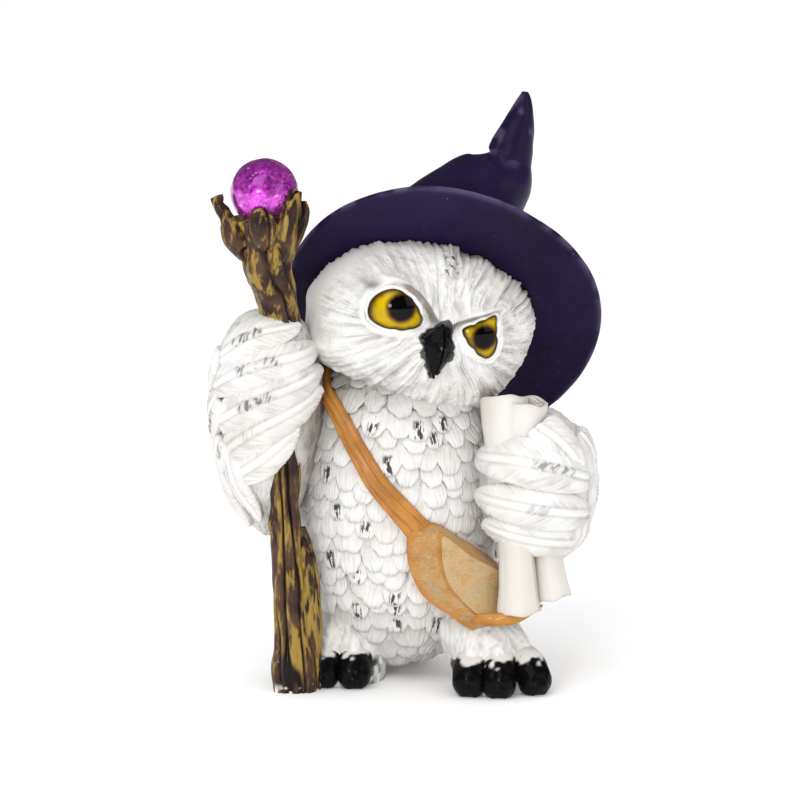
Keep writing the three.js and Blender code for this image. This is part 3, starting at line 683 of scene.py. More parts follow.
beak = {"centre": (-0.6, -2.6),
        "outline": [(-1.3, 5.4), (0.3, 6.0), (1.8, 4.9), (2.4, 2.9), (3.3, 1.4), (3.9, 0.3), (3.2, -2.2),
                    (2.4, -4.6), (1.4, -6.8), (0.1, -5.6), (-1.3, -3.3), (-3.1, -0.6), (-4.4, 0.9),
                    (-3.4, 2.5), (-2.0, 3.9)],
        "bridge": [(4.6, -0.5, -25.6), (1.0, 0.4, -28.2), (-2.6, 0.9, -27.8), (-5.6, 1.2, -25.8)]}
hat = {"centre": (8.8, 6, 85), "normal": (0.13, 0.85, 0.51), "radius": 36.7, "edge": 2.0, "hub": 4.2,
       "crown": 23.5}
hatUp = unit(hat["normal"])
hatRight = unit(np.array((1, 0, 0)) - hatUp * hatUp[0])
hatHigh = np.cross(hatRight, hatUp)
faceTurn = turnZ(face["yaw"]) @ turnY(face["roll"])
degrees = np.arange(0, 360, 0.5)


def ringRadius(table, blur):
    angles, radii = zip(*sorted((a % 360, r) for a, r in dict(table).items()))
    values = np.interp(degrees, angles, radii, period=360)
    kernel = bell(np.arange(-60, 61) * 0.5, blur)
    return np.convolve(np.concatenate([values[-60:], values, values[:60]]), kernel / kernel.sum(), "valid")


openingRadius = {side: ringRadius(table, 5) for side, table in eyeOpening.items()}
beakRadius = ringRadius({np.degrees(np.arctan2(z, x)): np.hypot(x, z) for x, z in beak["outline"]}, 1.5)
lookup = lambda table, angle: np.interp(np.degrees(angle) % 360, degrees, table, period=360)
eyeAt = {side: np.array((eye["across"] + side * eye["spacing"] / 2, -eye["forward"], eye["up"]))
         for side in (-1, 1)}


def faceToWorld(points):
    return points @ faceTurn.T + face["centre"]


def combedHair(blur, cells=620, reach=33.0):
    # streaks of fine noise smeared along the lie of the hair, away from the eyes and the beak
    cellOf = lambda at: np.clip(at.round().astype(int), 0, cells - 1)
    grid = np.linspace(-reach, reach, cells)
    x, z = np.meshgrid(grid, grid, indexing="ij")
    fx, fz = np.zeros_like(x), np.zeros_like(z)
    sources = [(eyeAt[-1][0], eyeAt[-1][2], 1.0), (eyeAt[1][0], eyeAt[1][2], 1.0), (*beak["centre"], 0.9)]
    for sx, sz, weight in sources:
        away = (x - sx) ** 2 + (z - sz) ** 2 + 0.5
        fx += weight * (x - sx) / away
        fz += weight * (z - sz) / away
    swirl = 0.35 * flatNoise(x, z, 7.0, 3)
    length = np.hypot(fx, fz) + 1e-9
    dx, dz = fx / length, fz / length
    dx, dz = dx * np.cos(swirl) - dz * np.sin(swirl), dx * np.sin(swirl) + dz * np.cos(swirl)
    speck = np.random.default_rng(5).random((cells, cells))
    for shift in range(blur):
        speck = (speck + np.roll(speck, 1 + shift, 0) + np.roll(speck, 1 + shift, 1)
                 + np.roll(speck, (1 + shift, 1 + shift), (0, 1)))
    total = speck.copy()
    for way in (1, -1):
        i, j = np.meshgrid(np.arange(cells, dtype=float), np.arange(cells, dtype=float), indexing="ij")
        for _ in range(24):
            a, b = cellOf(i), cellOf(j)
            i, j = i + way * dx[a, b], j + way * dz[a, b]
            total += speck[cellOf(i), cellOf(j)]
    total = (total - total.mean()) / total.std()
    cellAt = lambda at: cellOf((at + reach) / (2 * reach) * (cells - 1))
    return lambda x, z: total[cellAt(x), cellAt(z)]


hairAt, tuftAt = combedHair(1), combedHair(4)


def makeHead():
    around = 440
    phi = np.concatenate([np.radians(np.linspace(0.4, 100, 250)), np.radians(np.linspace(104, 179, 20))])
    a, phi = np.meshgrid(np.linspace(0, 2 * np.pi, around, endpoint=False), phi)
    direction = np.stack([np.sin(phi) * np.cos(a), -np.cos(phi), np.sin(phi) * np.sin(a)], -1)
    p = (direction * face["radii"]) @ turnY(face["skullRoll"]).T
    p[..., 2] -= face["slant"] * (p[..., 0] + 4) * ease(2, -14, p[..., 2])
    out = unit((direction / face["radii"]) @ turnY(face["skullRoll"]).T)
    front = ease(-3, -9, p[..., 1])
    x, z = p[..., 0].copy(), p[..., 2].copy()
    calm = np.ones_like(x)
    dark = np.zeros_like(x)
    soft = flatNoise(x, z, 4.5, 2)
    raised = 0.5 * soft
    depth = p[..., 1].copy()
    for side in (-1, 1):
        o, u = (x - eyeAt[side][0]) * side, z - eyeAt[side][2]
        angle = np.arctan2(u, o)
        opening = lookup(openingRadius[side], angle)
        d = np.hypot(o, u) - opening
        lid = eyeAt[side][1] - np.sqrt(np.maximum(eye["radius"] ** 2 - (opening + 0.1) ** 2, 0.6)) - 0.1
        hold = bell(np.maximum(d, 0), 2.6) * front
        depth = depth * (1 - hold) + lid * hold
        raised = raised * (1 - hold) + hold * (0.45 * bell(d - 1.3, 0.6) - 0.7 * bell(d - 2.3, 0.5))
        # painted shade in the crease just outside the lid
        dark += 0.10 * bell(d - 2.3, 0.4)
        depth = depth + 5.5 * ease(0.75, -0.9, d) * front
        bo, bu = zip(*browLine[side])
        n = (u - np.interp(o, bo, bu)) * 0.88
        ends = ease(-10.5, -7.5, o) * (1 - ease(6.4, 9.2, o))
        raised = raised + face["brow"] * ends * np.where(n > 0, bell(n, 2.4), bell(n, 0.45))
        # painted shadow under the brow, and painted shade in the recess beyond the brow's outer end
        under = ends * np.where(n > 0, bell(n, 0.25), bell(n, 1.5)) * ease(0.3, 0.6, d)
        recess = np.exp(-(((o - 6.6) / 2.3) ** 2 + ((u - 3.0) / 1.3) ** 2)) * ease(0.5, 1.2, d)
        dark += 1.3 * under * ease(-5, 1, -o) + (0.9 if side < 0 else 0.2) * recess
        calm = np.minimum(calm, ease(1.0, 2.6, d))
    bx, bz = x - beak["centre"][0], z - beak["centre"][1]
    bd = np.hypot(bx, bz) - lookup(beakRadius, np.arctan2(bz, bx))
    raised += 1.2 * bell(np.maximum(bd, 0), 3.0) * front * np.minimum(calm + 0.2, 1)
    hair, tuft = hairAt(x, z) * front, tuftAt(x, z) * front
    raised = raised + (face["hair"] * hair + face["tuft"] * tuft) * (0.12 + 0.88 * calm)
    cheek = 4.4 * np.exp(-(((x + 17.5) / 6.5) ** 2 + ((z + 10) / 6) ** 2)) * ease(14, 4, p[..., 1])
    p = np.stack([x, depth, z], -1) + out * (raised * (0.4 + 0.6 * front) + cheek)[..., None]
    for side in (-1, 1):
        o, u = (p[..., 0] - eyeAt[side][0]) * side, p[..., 2] - eyeAt[side][2]
        r = np.hypot(o, u)
        skin = eyeAt[side][1] - np.sqrt(np.maximum(eye["radius"] ** 2 - r**2, 0)) - 0.4
        beyond = r - lookup(openingRadius[side], np.arctan2(u, o)) > 0.25
        over = (r < eye["radius"]) & beyond & (p[..., 1] < 0)
        p[..., 1] = np.where(over, np.minimum(p[..., 1], skin), p[..., 1])
    world = faceToWorld(p)
    seat = hatUp @ np.array(hat["centre"]) - hat["hub"] / 2 - 0.05
    away = seat - world @ hatUp
    rag = np.abs(flatNoise(np.cos(a) * 14, np.sin(a) * 14, 0.9, 8)) + 0.6 * np.abs(
        flatNoise(np.cos(a) * 14, np.sin(a) * 14, 0.35, 9))
    radial = unit((direction * (1, 0, 1)) @ turnY(face["skullRoll"]).T) @ faceTurn.T
    world = world + radial * (1.5 * (rag - 0.35) * bell(away, 2.4))[..., None]
    away = seat - world @ hatUp
    world = world + hatUp * np.minimum(0, away)[..., None]
    # painted shadow of the hat along the top of the head, heavier and blotchy to the upper left, with the
    # eye shade added
    rim = bell(np.maximum(away, 0), 3.0)
    blot = noise(world, 3.2, 4) * 0.5 + 0.5
    upper = ease(-2, 9, world[..., 2] - face["centre"][2]) * ease(-9, 2, world[..., 0] - face["centre"][0])
    wash = rim * (0.2 + 1.3 * upper * blot) + dark
    # painted shade at the face's lower outer edge on the owl's left, and under the face disc
    wash += 0.30 * ease(16.5, 23, x) * blot * ease(8, -4, z)
    wash += 0.35 * ease(-11, -16, z + 0.3 * x) * ease(0.25, 0.75, blot)
    ink = 0.95 * ease(0.35, 0.0, bd + 0.5 * noise(world, 1.1, 6)) * front
    speck = ease(0.25, 0.5, noise(world * (1, 1, 0.45), 0.62, 12))
    forehead = np.exp(-(((x + 1.0) / 2.6) ** 2 + ((z - 15.2) / 2.4) ** 2))
    ink = np.maximum(ink, speck * ease(0.35, 0.6, forehead))
    # painted shade in the hair grooves, weaker near the eyes
    groove = np.clip(0.2 - 0.45 * hair - 0.35 * tuft, 0, 1.6) * (0.15 + 0.85 * calm) * 0.55
    paint = {"groove": groove, "wash": wash, "ink": ink}
    handIn(ringMesh("headSkin", world, featherWhite, paint), "feather_white", "head")


def makeEye(side, node):
    x, y, z = ballParts(180, 140, 1)
    ball = np.stack([x, -z, y], -1)
    o, u = ball[..., 0] * side * eye["radius"], ball[..., 2] * eye["radius"]
    inside = lookup(openingRadius[side], np.arctan2(u, o)) - np.hypot(o, u)
    rim = ease(1.5, 0.1, inside + 0.12 * flatNoise(o, u, 0.8, 3))
    ball = faceToWorld(ball * eye["radius"] + eyeAt[side])
    centre = tuple((faceToWorld(eyeAt[side]) + toFrame) * mm)
    gaze = unit(faceTurn @ np.array(eye["look"][side]))
    amber = eyePaint(f"{node}Amber", centre, tuple(gaze), eye["pupil"][side])
    handIn(ringMesh(node.replace("_e", "E"), ball, amber, {"rim": rim}), "eye_amber", node)


def makeLid(side, node):  # a soft rope laid round the opening
    count, around = 260, 14
    ringAngle = np.linspace(0, 2 * np.pi, count, endpoint=False)
    opening = lookup(openingRadius[side], ringAngle)
    depth = eyeAt[side][1] - np.sqrt(np.maximum(eye["radius"] ** 2 - (opening + 0.1) ** 2, 1.2))
    rope = face["lid"] * (1 + 0.15 * np.sin(3 * ringAngle) + 0.2 * ease(0.3, 1, np.sin(ringAngle)))
    turn = np.linspace(0, 2 * np.pi, around, endpoint=False)[None, :, None]
    radial = np.stack([side * np.cos(ringAngle), 0 * ringAngle, np.sin(ringAngle)], -1)
    middle = radial * (opening + 0.4)[:, None] + eyeAt[side]
    middle[:, 1] = depth - 0.15
    bulge = np.cos(turn) * radial[:, None] + np.sin(turn) * np.array((0, -0.9, 0))
    lid = faceToWorld(middle[:, None] + rope[:, None, None] * bulge)
    lid += 0.08 * noise(lid, 1.6, 14)[..., None]
    faces = gridFaces(count, around, True).tolist()
    last = (count - 1) * around
    faces += [[last + j, last + (j + 1) % around, (j + 1) % around, j] for j in range(around)]
    paint = {"groove": 0.0, "wash": 0.03, "ink": 0.0}
    piece = finishMesh(node.replace("_eye", "Lid"), lid, faces, featherWhite, paint)
    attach(piece, "root")


def makeBeak():
    rng = np.random.default_rng(3)
    outline = np.array(beak["outline"])
    halfway = np.tile([[0.5], [0.0]], (len(outline), 1))  # every other point lies midway to the next stop
    twice, following = np.repeat(outline, 2, 0), np.repeat(np.roll(outline, -1, 0), 2, 0)
    outline = twice * (1 - halfway) + following * halfway
    outline = outline * (1 + 0.05 * (rng.random((len(outline), 1)) - 0.5))
    bz, bx, by = zip(*beak["bridge"][::-1])
    ridgeX, ridgeY = np.interp(outline[:, 1], bz, bx), np.interp(outline[:, 1], bz, by)
    ridgeZ = np.clip(outline[:, 1], bz[0], bz[-1])
    rings = []
    for share, spread in ((0.0, 1.02), (0.45, 1.0), (0.6, 0.93), (0.8, 0.62), (0.93, 0.3), (1.0, 0.06)):
        edge = -20.5 * (1 - share) - share * 24.9 if share < 0.6 else -24.9
        lift = max(0, (0.93 - spread) / 0.87)
        jolt = (rng.random((len(outline), 3)) - 0.5) * (0.30 if 0.1 < share < 0.99 else 0)
        x = outline[:, 0] * spread + ridgeX * (1 - spread)
        z = outline[:, 1] * spread + ridgeZ * (1 - spread)
        y = edge + (ridgeY - edge) * lift**0.85
        rings.append(np.stack([x + beak["centre"][0], y, z + beak["centre"][1]], -1) + jolt)
    points, faces = capped(faceToWorld(np.stack(rings)))
    piece = finishMesh("beakFacets", points, faces, glossBlack, {"chip": 0.0}, flat=True)
    bevel = piece.modifiers.new("facets", "BEVEL")
    bevel.width, bevel.segments, bevel.limit_method, bevel.angle_limit = 0.00015, 2, "ANGLE", 0.25
    handIn(piece, "gloss_black", "beak")


makeHead()
for side, node in ((-1, "right_eye"), (1, "left_eye")):
    makeEye(side, node)
    makeLid(side, node)
makeBeak()
print("head ready")

# hat
crownStops = [((9.4, 16.4, 92.4), 20.6), ((12.6, 22.5, 100), 16.8), ((18, 26, 108), 11.8),
              ((22.4, 27.3, 113), 8.6), ((24.4, 28, 116.8), 5.9), ((25.5, 28.2, 120.4), 4.9),
              ((26.8, 28.3, 124.5), 3.8), ((28, 28, 130), 2.0), ((28.3, 27.8, 132.5), 0.8)]


def makeBrim():
    around = 320
    r, hub, edge = hat["radius"], hat["hub"] / 2, hat["edge"] / 2
    under = [(t * r * 0.965, -hub + (hub - edge) * ease(0.35, 1.0, t)) for t in np.linspace(0.01, 1, 70)]
    roll = [(r * 0.965 + 0.035 * r * np.cos(b), edge * np.sin(b)) for b in np.linspace(-1.45, 1.45, 15)]
    over = [(t * r * 0.965, edge + (hub - edge) * (1 - ease(0.6, 1.0, t)))
            for t in np.linspace(1, 0.01, 40)]
    profile = np.array(under + roll + over)
    angle, k = np.meshgrid(np.linspace(0, 2 * np.pi, around, endpoint=False), np.arange(len(profile)))
    radius, height = profile[k, 0], profile[k, 1]
    share = radius / r
    lie = np.stack([radius * np.cos(angle), radius * np.sin(angle), 0 * angle], -1)
    height = height + share**3 * (0.8 * np.sin(2 * angle + 0.7) + 0.45 * np.sin(3 * angle + 2.0))
    height = height - 1.3 * share**6 + 0.30 * lumps(lie, 9, 3) * share + 0.05 * noise(lie, 1.7, 4)
    radius = radius * (1 + 0.006 * np.sin(3 * angle + 1) + 0.004 * np.sin(5 * angle))
    across, high = radius * np.cos(angle), radius * np.sin(angle)
    p = (np.array(hat["centre"]) + across[..., None] * hatRight + high[..., None] * hatHigh
         + height[..., None] * hatUp)
    # a lighter band round the brim's rolled edge: rubbed wear and a painted highlight of the edge catching
    # light
    worn = bell(k - 78, 5.0) * ease(0.0, 0.7, noise(lie, 3.0, 6) + 0.5)
    handIn(ringMesh("hatBrim", p, hatPurple, {"worn": worn}), "hat_purple", "hat_brim")


def makeCrown():
    around, rings = 200, 300
    foot = tuple(np.array(hat["centre"]) + hatUp * hat["hub"] / 2)
    points, out, angle, radius = sweep([(foot, hat["crown"])] + crownStops, around, rings,
                                       start=hat["normal"])
    t = np.linspace(0, 1, rings)[:, None] * np.ones(around)
    girth = radius[:, None] * np.ones(around)
    folds = 0
    for at, tilt, depth, width in ((0.38, 0.10, 0.06, 0.06), (0.53, 0.05, 0.20, 0.035)):
        centre = at + tilt * np.sin(angle + 1.2 + 9 * at)
        folds = folds - depth * bell(t - centre, width) * ease(-0.5, 0.8, -out[..., 0])
    points = points + out * (girth * folds * ease(0.04, 0.2, t))[..., None]
    points = points + out * (0.14 * lumps(points, 6, 7) * ease(0, 0.2, t))[..., None]
    # lighter patches over the upper part of the crown
    worn = ease(0.2, 0.75, noise(points, 2.4, 8)) * 0.6 * ease(0.45, 0.6, t)
    handIn(ringMesh("hatCrown", points, hatPurple, {"worn": worn}), "hat_purple", "hat_crown", "hat_tip")


makeBrim()
makeCrown()
print("hat ready")

# staff and orb
staffStops = [((-25.4, -18.5, 0), 4.9), ((-25.2, -18.5, 4), 4.7), ((-25.8, -18.4, 16), 3.9),
              ((-26.8, -18.2, 32), 3.5), ((-27.4, -18, 46), 3.4), ((-27.6, -17.4, 62), 4.0),
              ((-27.8, -13.6, 77), 4.3), ((-28, -12.6, 85), 4.3), ((-29.3, -14, 91.5), 4.7),
              ((-31, -15.3, 98.5), 5.5), ((-31.4, -15, 105), 7.1), ((-32, -15, 109.5), 8.3)]
strandStops = [((-22.3, -17.6, 0), 3.0), ((-22, -17.6, 12), 2.8), ((-22.2, -17.6, 24), 2.5),
               ((-23.2, -17.6, 33), 1.9), ((-23.8, -17.6, 38), 1.0)]
claws = [
    [((-35, -17, 101), 2.6), ((-38.6, -18, 105.6), 2.6), ((-40, -17.8, 109), 1.7), ((-41.6, -17, 112), 1.5),
     ((-42.4, -16.4, 114), 1.3)],
    [((-31, -18, 102.5), 3.2), ((-31.7, -21.2, 106.4), 3.4), ((-32, -22.4, 109.4), 3.1),
     ((-32.2, -21.6, 111.6), 1.9)],
    [((-29.5, -18, 101.5), 3.0), ((-28, -20.6, 106), 2.4), ((-26.6, -21, 110), 1.8),
     ((-25.2, -20.2, 113.4), 1.5), ((-24.4, -19.2, 115.6), 1.2)],
    [((-28, -15, 101), 3.4), ((-25.4, -14.6, 105.4), 2.6), ((-23.8, -14, 109.4), 2.3),
     ((-23.6, -13.6, 112.6), 1.5)],
    [((-31, -12, 101), 3.2), ((-30.6, -8, 106), 2.6), ((-30.2, -6, 110), 2.1), ((-30.2, -6.6, 113.6), 1.2)],
]


def barkPiece(name, stops, around, rings, depth, seed, level=False, knots=()):
    points, out = sweep(stops, around, rings, start=(0, 0, 1) if level else None)[:2]
    twist = points.copy()
    turn = 0.02 * points[..., 2]
    centre = points.mean(1, keepdims=True)
    x, y = points[..., 0] - centre[..., 0], points[..., 1] - centre[..., 1]
    twist[..., 0] = centre[..., 0] + x * np.cos(turn) - y * np.sin(turn)
    twist[..., 1] = centre[..., 1] + x * np.sin(turn) + y * np.cos(turn)
    valley = bell(noise(twist * (1, 1, 0.09), 3.0, seed), 0.09)
    strand = 1 - 1.6 * valley
    fine = noise(twist * (1, 1, 0.14), 0.7, seed + 1)
    lump = lumps(points, (6, 6, 9), seed + 2)
    swell = 0
    for knot, size, wide in knots:
        swell = swell + size * bell(np.linalg.norm(points - np.array(knot), axis=-1), wide)
    points = points + out * (depth * (0.75 * strand + 0.16 * fine + 0.8 * lump - 0.6) + swell)[..., None]
    if level:
        points[0, :, 2] = 0
        points[..., 2] = np.maximum(points[..., 2], 0)
    ridge = np.clip(0.62 * strand + 0.25 * fine + 0.2, 0, 1)
    chip = (ease(2.6, 0.4, points[..., 2]) * ease(0.15, 0.4, noise(points, 1.1, seed + 4))
            if level else 0 * ridge)
    return ringMesh(name, points, barkBrown, {"ridge": ridge, "chip": chip})


def makeStaff():
    knots = [((-31.6, -20, 39), 1.6, 1.7), ((-24.5, -20, 92), 1.3, 3.0), ((-33.5, -20, 98), 1.4, 3.2),
             ((-29.6, -21.5, 6), 0.9, 4.0), ((-28, -22, 101), 1.0, 2.6)]
    handIn(barkPiece("staffShaft", staffStops, 96, 560, 0.95, 20, True, knots), "bark_brown", "staff")
    handIn(barkPiece("staffStrand", strandStops, 48, 220, 0.6, 26, True), "bark_brown", "staff_strand")
    for k, stops in enumerate(claws):
        piece = barkPiece(f"staffClaw{k + 1}", stops, 60, 150, 0.75, 40 + k)
        handIn(piece, "bark_brown", f"staff_claw_{k + 1}")


def makeOrb():
    ball = np.stack(ballParts(140, 90, 1.5), -1)
    dent = orb["dent"] * lumps(ball * orb["radius"], 2.4, 4) - 0.12
    points = np.array(orb["centre"]) + ball * (orb["radius"] + dent)[..., None]
    handIn(ringMesh("orbBall", points, orbFoil), "orb_foil", "orb")


makeStaff()
makeOrb()
print("staff ready")

# scroll
scrollRolls = {
    "scrollFrontRoll": ("scroll_front_roll",
                        [((22.8, -13.4, 67.6), 6.2), ((23.2, -15.6, 58), 5.6), ((25, -18.4, 40), 4.6),
                         ((26, -20, 26), 5.0), ((26.3, -20.6, 19.2), 5.8)], 1.7, 3.9),
    "scrollBackRoll": ("scroll_back_roll",
                       [((27.4, -16.4, 67.3), 5.4), ((26.8, -16.2, 58), 5.2), ((31, -16, 40), 4.0),
                        ((32.6, -18, 28), 4.3), ((33.6, -19, 21.8), 4.8)], 1.5, 0.9),
}


def makeScroll():
    for name, (node, stops, turns, start) in scrollRolls.items():
        rings, count, thick = 140, 200, 0.75
        line, radius, side, back = spine(stops, rings)
        w = np.linspace(0, 1, count)
        angle = start + 2 * np.pi * turns * w
        shrink = (thick + 0.32) * turns * w
        wave = 0.25 * flatNoise(np.cos(angle) * 3, np.sin(angle) * 3, 1.3, 2)
        grids = []
        for inset in (0.0, thick):
            r = radius[:, None] - shrink[None] - inset + wave[None]
            spread = (side[:, None] * np.cos(angle)[None, :, None]
                      + back[:, None] * np.sin(angle)[None, :, None])
            grids.append(line[:, None] + r[..., None] * spread)
        ends = 0.35 * np.sin(2.2 * angle) + 0.2 * np.sin(5 * angle + 1)
        lift = np.linspace(-1, 1, rings)[:, None] ** 7
        for grid in grids:
            grid[..., 2] += lift * ends[None] - 0.25 * np.abs(lift)
            grid += 0.10 * noise(grid, 4.5, 3)[..., None]
        points, faces = shell(*grids)
        # painted shade near the ends of each roll and over the inner face of the sheet
        groove = np.concatenate([(0.5 * np.abs(lift) ** 3 + 0 * w[None]).reshape(-1),
                                 np.full(rings * count, 0.35)])
        handIn(finishMesh(name, points, faces, parchment, {"groove": groove}), "parchment", node)


makeScroll()
print("scroll ready")

# satchel
satchel = {
    "strap": {"stops": [(-19.6, 72.6), (-17.6, 68.6), (-14.5, 63.6), (-10.5, 56.4), (-6, 49), (-0.7, 42.7),
                        (3.4, 37.6)],
              "start": 1.3, "end": 3.0, "thick": 1.7, "lift": 1.1},
    "back": {"stops": [(66, -23), (98, -17), (128, -4), (158, 10), (192, 22), (222, 29)], "half": 2.2,
             "thick": 1.4},
    "bag": {"outline": [(3.4, 38.9), (0.7, 38.1), (0.2, 34.6), (1.1, 28.6), (4.1, 22.6), (10.9, 17.4),
                        (14.9, 14.4), (19, 13.2), (22.6, 13.2), (23.6, 14.2), (24, 17.4), (22.6, 24.6),
                        (19.2, 29.8), (10.8, 37.1), (6.4, 40.2)],
            "front": [(6.3, 38.6), (6.2, 36.3), (6.4, 32.4), (7.2, 28.2), (9.2, 24.2), (13.5, 19),
                      (17.6, 16.8), (19.8, 15.4), (21, 15.6), (21.9, 15.6), (22.4, 19), (21.2, 24.4),
                      (18.4, 28.4), (12.6, 33), (7.6, 38.2)],
            "middle": (14.0, 27.0), "thick": 5.0, "rim": 1.7, "flap": 0.55, "forward": 5.0},
}
bagEgg = dict(torso, rx=26, down=46)


def strapRelief(place):
    run, across, v = place["run"], place["across"], place["v"]
    drift = flatNoise(run, across, 6, 3)
    lines = (0.6 * np.cos(2 * np.pi * v * 1.25 + 0.4 * drift)
             + 0.4 * np.cos(2 * np.pi * v * 3.4 + 2.2 * drift))
    grain = flatNoise(run * 0.35, across * 2.2, 0.9, 4)
    carved = 0.20 * lines + 0.12 * grain
    # painted shade in the strap's carved lines and grain
    return carved, {"groove": np.clip(-0.8 * lines - 0.4 * grain, 0, 1),
                    "dry": ease(0.3, 0.9, grain * 0.5 + 0.5) * 0.5}


def pouch(outlines, lifts, around=300, rings=70, seed=5):
    # a cushion on the belly built from closed outlines (x, z), each at its own height above the torso
    bag = satchel["bag"]
    loops = [smoothLine(np.array(outline) * 0.9 + np.roll(outline, 1, 0) * 0.05
                        + np.roll(outline, -1, 0) * 0.05, around, True)
             for outline in outlines]
    share = np.linspace(0, len(loops) - 1, rings)
    k = np.minimum(share.astype(int), len(loops) - 2)
    t = (share - k)[:, None, None]
    flat = np.array(loops)[k] * (1 - t) + np.array(loops)[k + 1] * t
    lift = np.interp(share, np.arange(len(lifts)), lifts)[:, None] * np.ones(around)
    for _ in range(2):
        lift[1:-1] = (lift[:-2] + 2 * lift[1:-1] + lift[2:]) / 4
    turned, height = seenAt(bagEgg, flat[..., 0], flat[..., 1])
    turned = np.radians(turned)
    points = eggPoint(bagEgg, turned, height) + lift[..., None] * eggNormal(bagEgg, turned, height)
    points[..., 1] -= (bag["forward"] * ease(-0.5, 1.5, lift) * ease(24, 12, points[..., 2])
                       * ease(2, 14, points[..., 0]))
    dent = lumps(points, 5.0, seed)
    points = points + (0.22 * dent * ease(0.5, 2, lift))[..., None] * eggNormal(bagEgg, turned, height)
    return points, dent, share


def makeSatchel():
    strap, back, bag = (satchel[key] for key in ("strap", "back", "bag"))
    path = [seenAt(torso, x, z) for x, z in strap["stops"]]
    shape = {"relief": strapRelief, "body": strap["lift"], "edge": 0.6}
    half = lambda u: strap["start"] + (strap["end"] - strap["start"]) * u
    piece = bladePiece("satchelStrapFront", torso, path, half, strapTan, strap["thick"], 160, 31, **shape)
    handIn(piece, "satchel_tan", "satchel_strap_front")
    half = lambda u: back["half"] + 0 * u
    piece = bladePiece("satchelStrapBack", torso, back["stops"], half, strapTan, back["thick"], 320, 25,
                       **shape)
    handIn(piece, "satchel_tan", "satchel_strap_back")
    middle = np.array(bag["middle"])
    shrink = lambda outline, amount: [np.array(at) * (1 - amount) + middle * amount for at in outline]
    outlines = [bag["outline"], bag["outline"], bag["front"], shrink(bag["front"], 0.97)]
    points, dent, share = pouch(outlines, (-0.4, bag["rim"], bag["thick"], bag["thick"] + 0.3))
    slope = ease(1.1, 1.3, share) * ease(2.1, 1.9, share)
    edge = bell(share - 2, 0.06)
    dry = (0.25 + 0.3 * slope)[:, None] + 0.2 * dent
    # painted shade on the bag's sloping sides and along the edge of its front face
    groove = (0.25 * slope + 0.35 * edge)[:, None] + 0 * dent
    paint = {"groove": groove, "dry": dry}
    handIn(ringMesh("satchelBag", points, bagTan, paint), "satchel_tan", "satchel_bag")
    high = bag["thick"] + bag["flap"]
    outlines = [shrink(bag["front"], 0.10), shrink(bag["front"], 0.08), shrink(bag["front"], 0.12),
                shrink(bag["front"], 0.97)]
    points, dent, share = pouch(outlines, (high - 1.2, high - 0.2, high, high + 0.3))
    paint = {"groove": 0.0, "dry": 0.75 + 0.25 * dent}
    handIn(ringMesh("satchelFlap", points, bagTan, paint), "satchel_tan", "satchel_flap")
    # the strap's lower end hangs past the bag
    stops = [((13, -20.6, 18), 0.9), ((18.6, -23, 17.6), 1.4), ((25, -23.8, 18.3), 1.4),
             ((31.4, -21.5, 20.6), 0.3)]
    points, out = sweep(stops, 40, 90, squash=0.6)[:2]
    points = points + out * (0.15 * lumps(points, 2.0, 8))[..., None]
    piece = ringMesh("satchelStrapTail", points, strapTan, {"groove": 0.1, "dry": 0.2})
    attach(piece, "root")


makeSatchel()
print("satchel ready")

# body and belly feathers
belly = {"row": 3.9, "pitch": 4.7, "length": 6.6, "width": 6.0, "thickness": 0.42, "rise": 0.5,
         "sink": 0.36,
         "lowest": -30.5, "highest": 36, "jitter": 0.16, "stray": 0.7, "turned": 0.13,
         "inkAt": [(-5.2, 64.3), (1.6, 63.9), (7.9, 60.7), (8.2, 56.9), (-1.2, 53.3), (-17.4, 52.1),
                   (-21.6, 46.5), (-16.4, 43), (-8.9, 39.9), (-18.4, 30.8), (-11.2, 27.4), (-1.8, 23.5),
                   (0.4, 20.2), (-11.3, 17.7), (-2.1, 14.4), (6.7, 13.8)]}


def makeBody():
    points, out = eggSkin(torso, 320, 260)
    hair = noise(points * (1.5, 1.5, 0.32), 0.75, 51)
    rough = lumps(points, 5.5, 52)
    points = points + out * (0.24 * hair + 0.4 * rough - 0.15)[..., None]
    # painted shade: a grey base, deeper in dents and in a band under the head
    low = 0.35 + 0.3 * np.maximum(0, -rough)
    wash = low + 0.5 * bell(points[..., 2] - 68, 5)
    paint = {"groove": np.maximum(0, -hair), "wash": wash, "ink": 0.0}
    handIn(ringMesh("bodySkin", points, featherWhite, paint), "feather_white", "body")


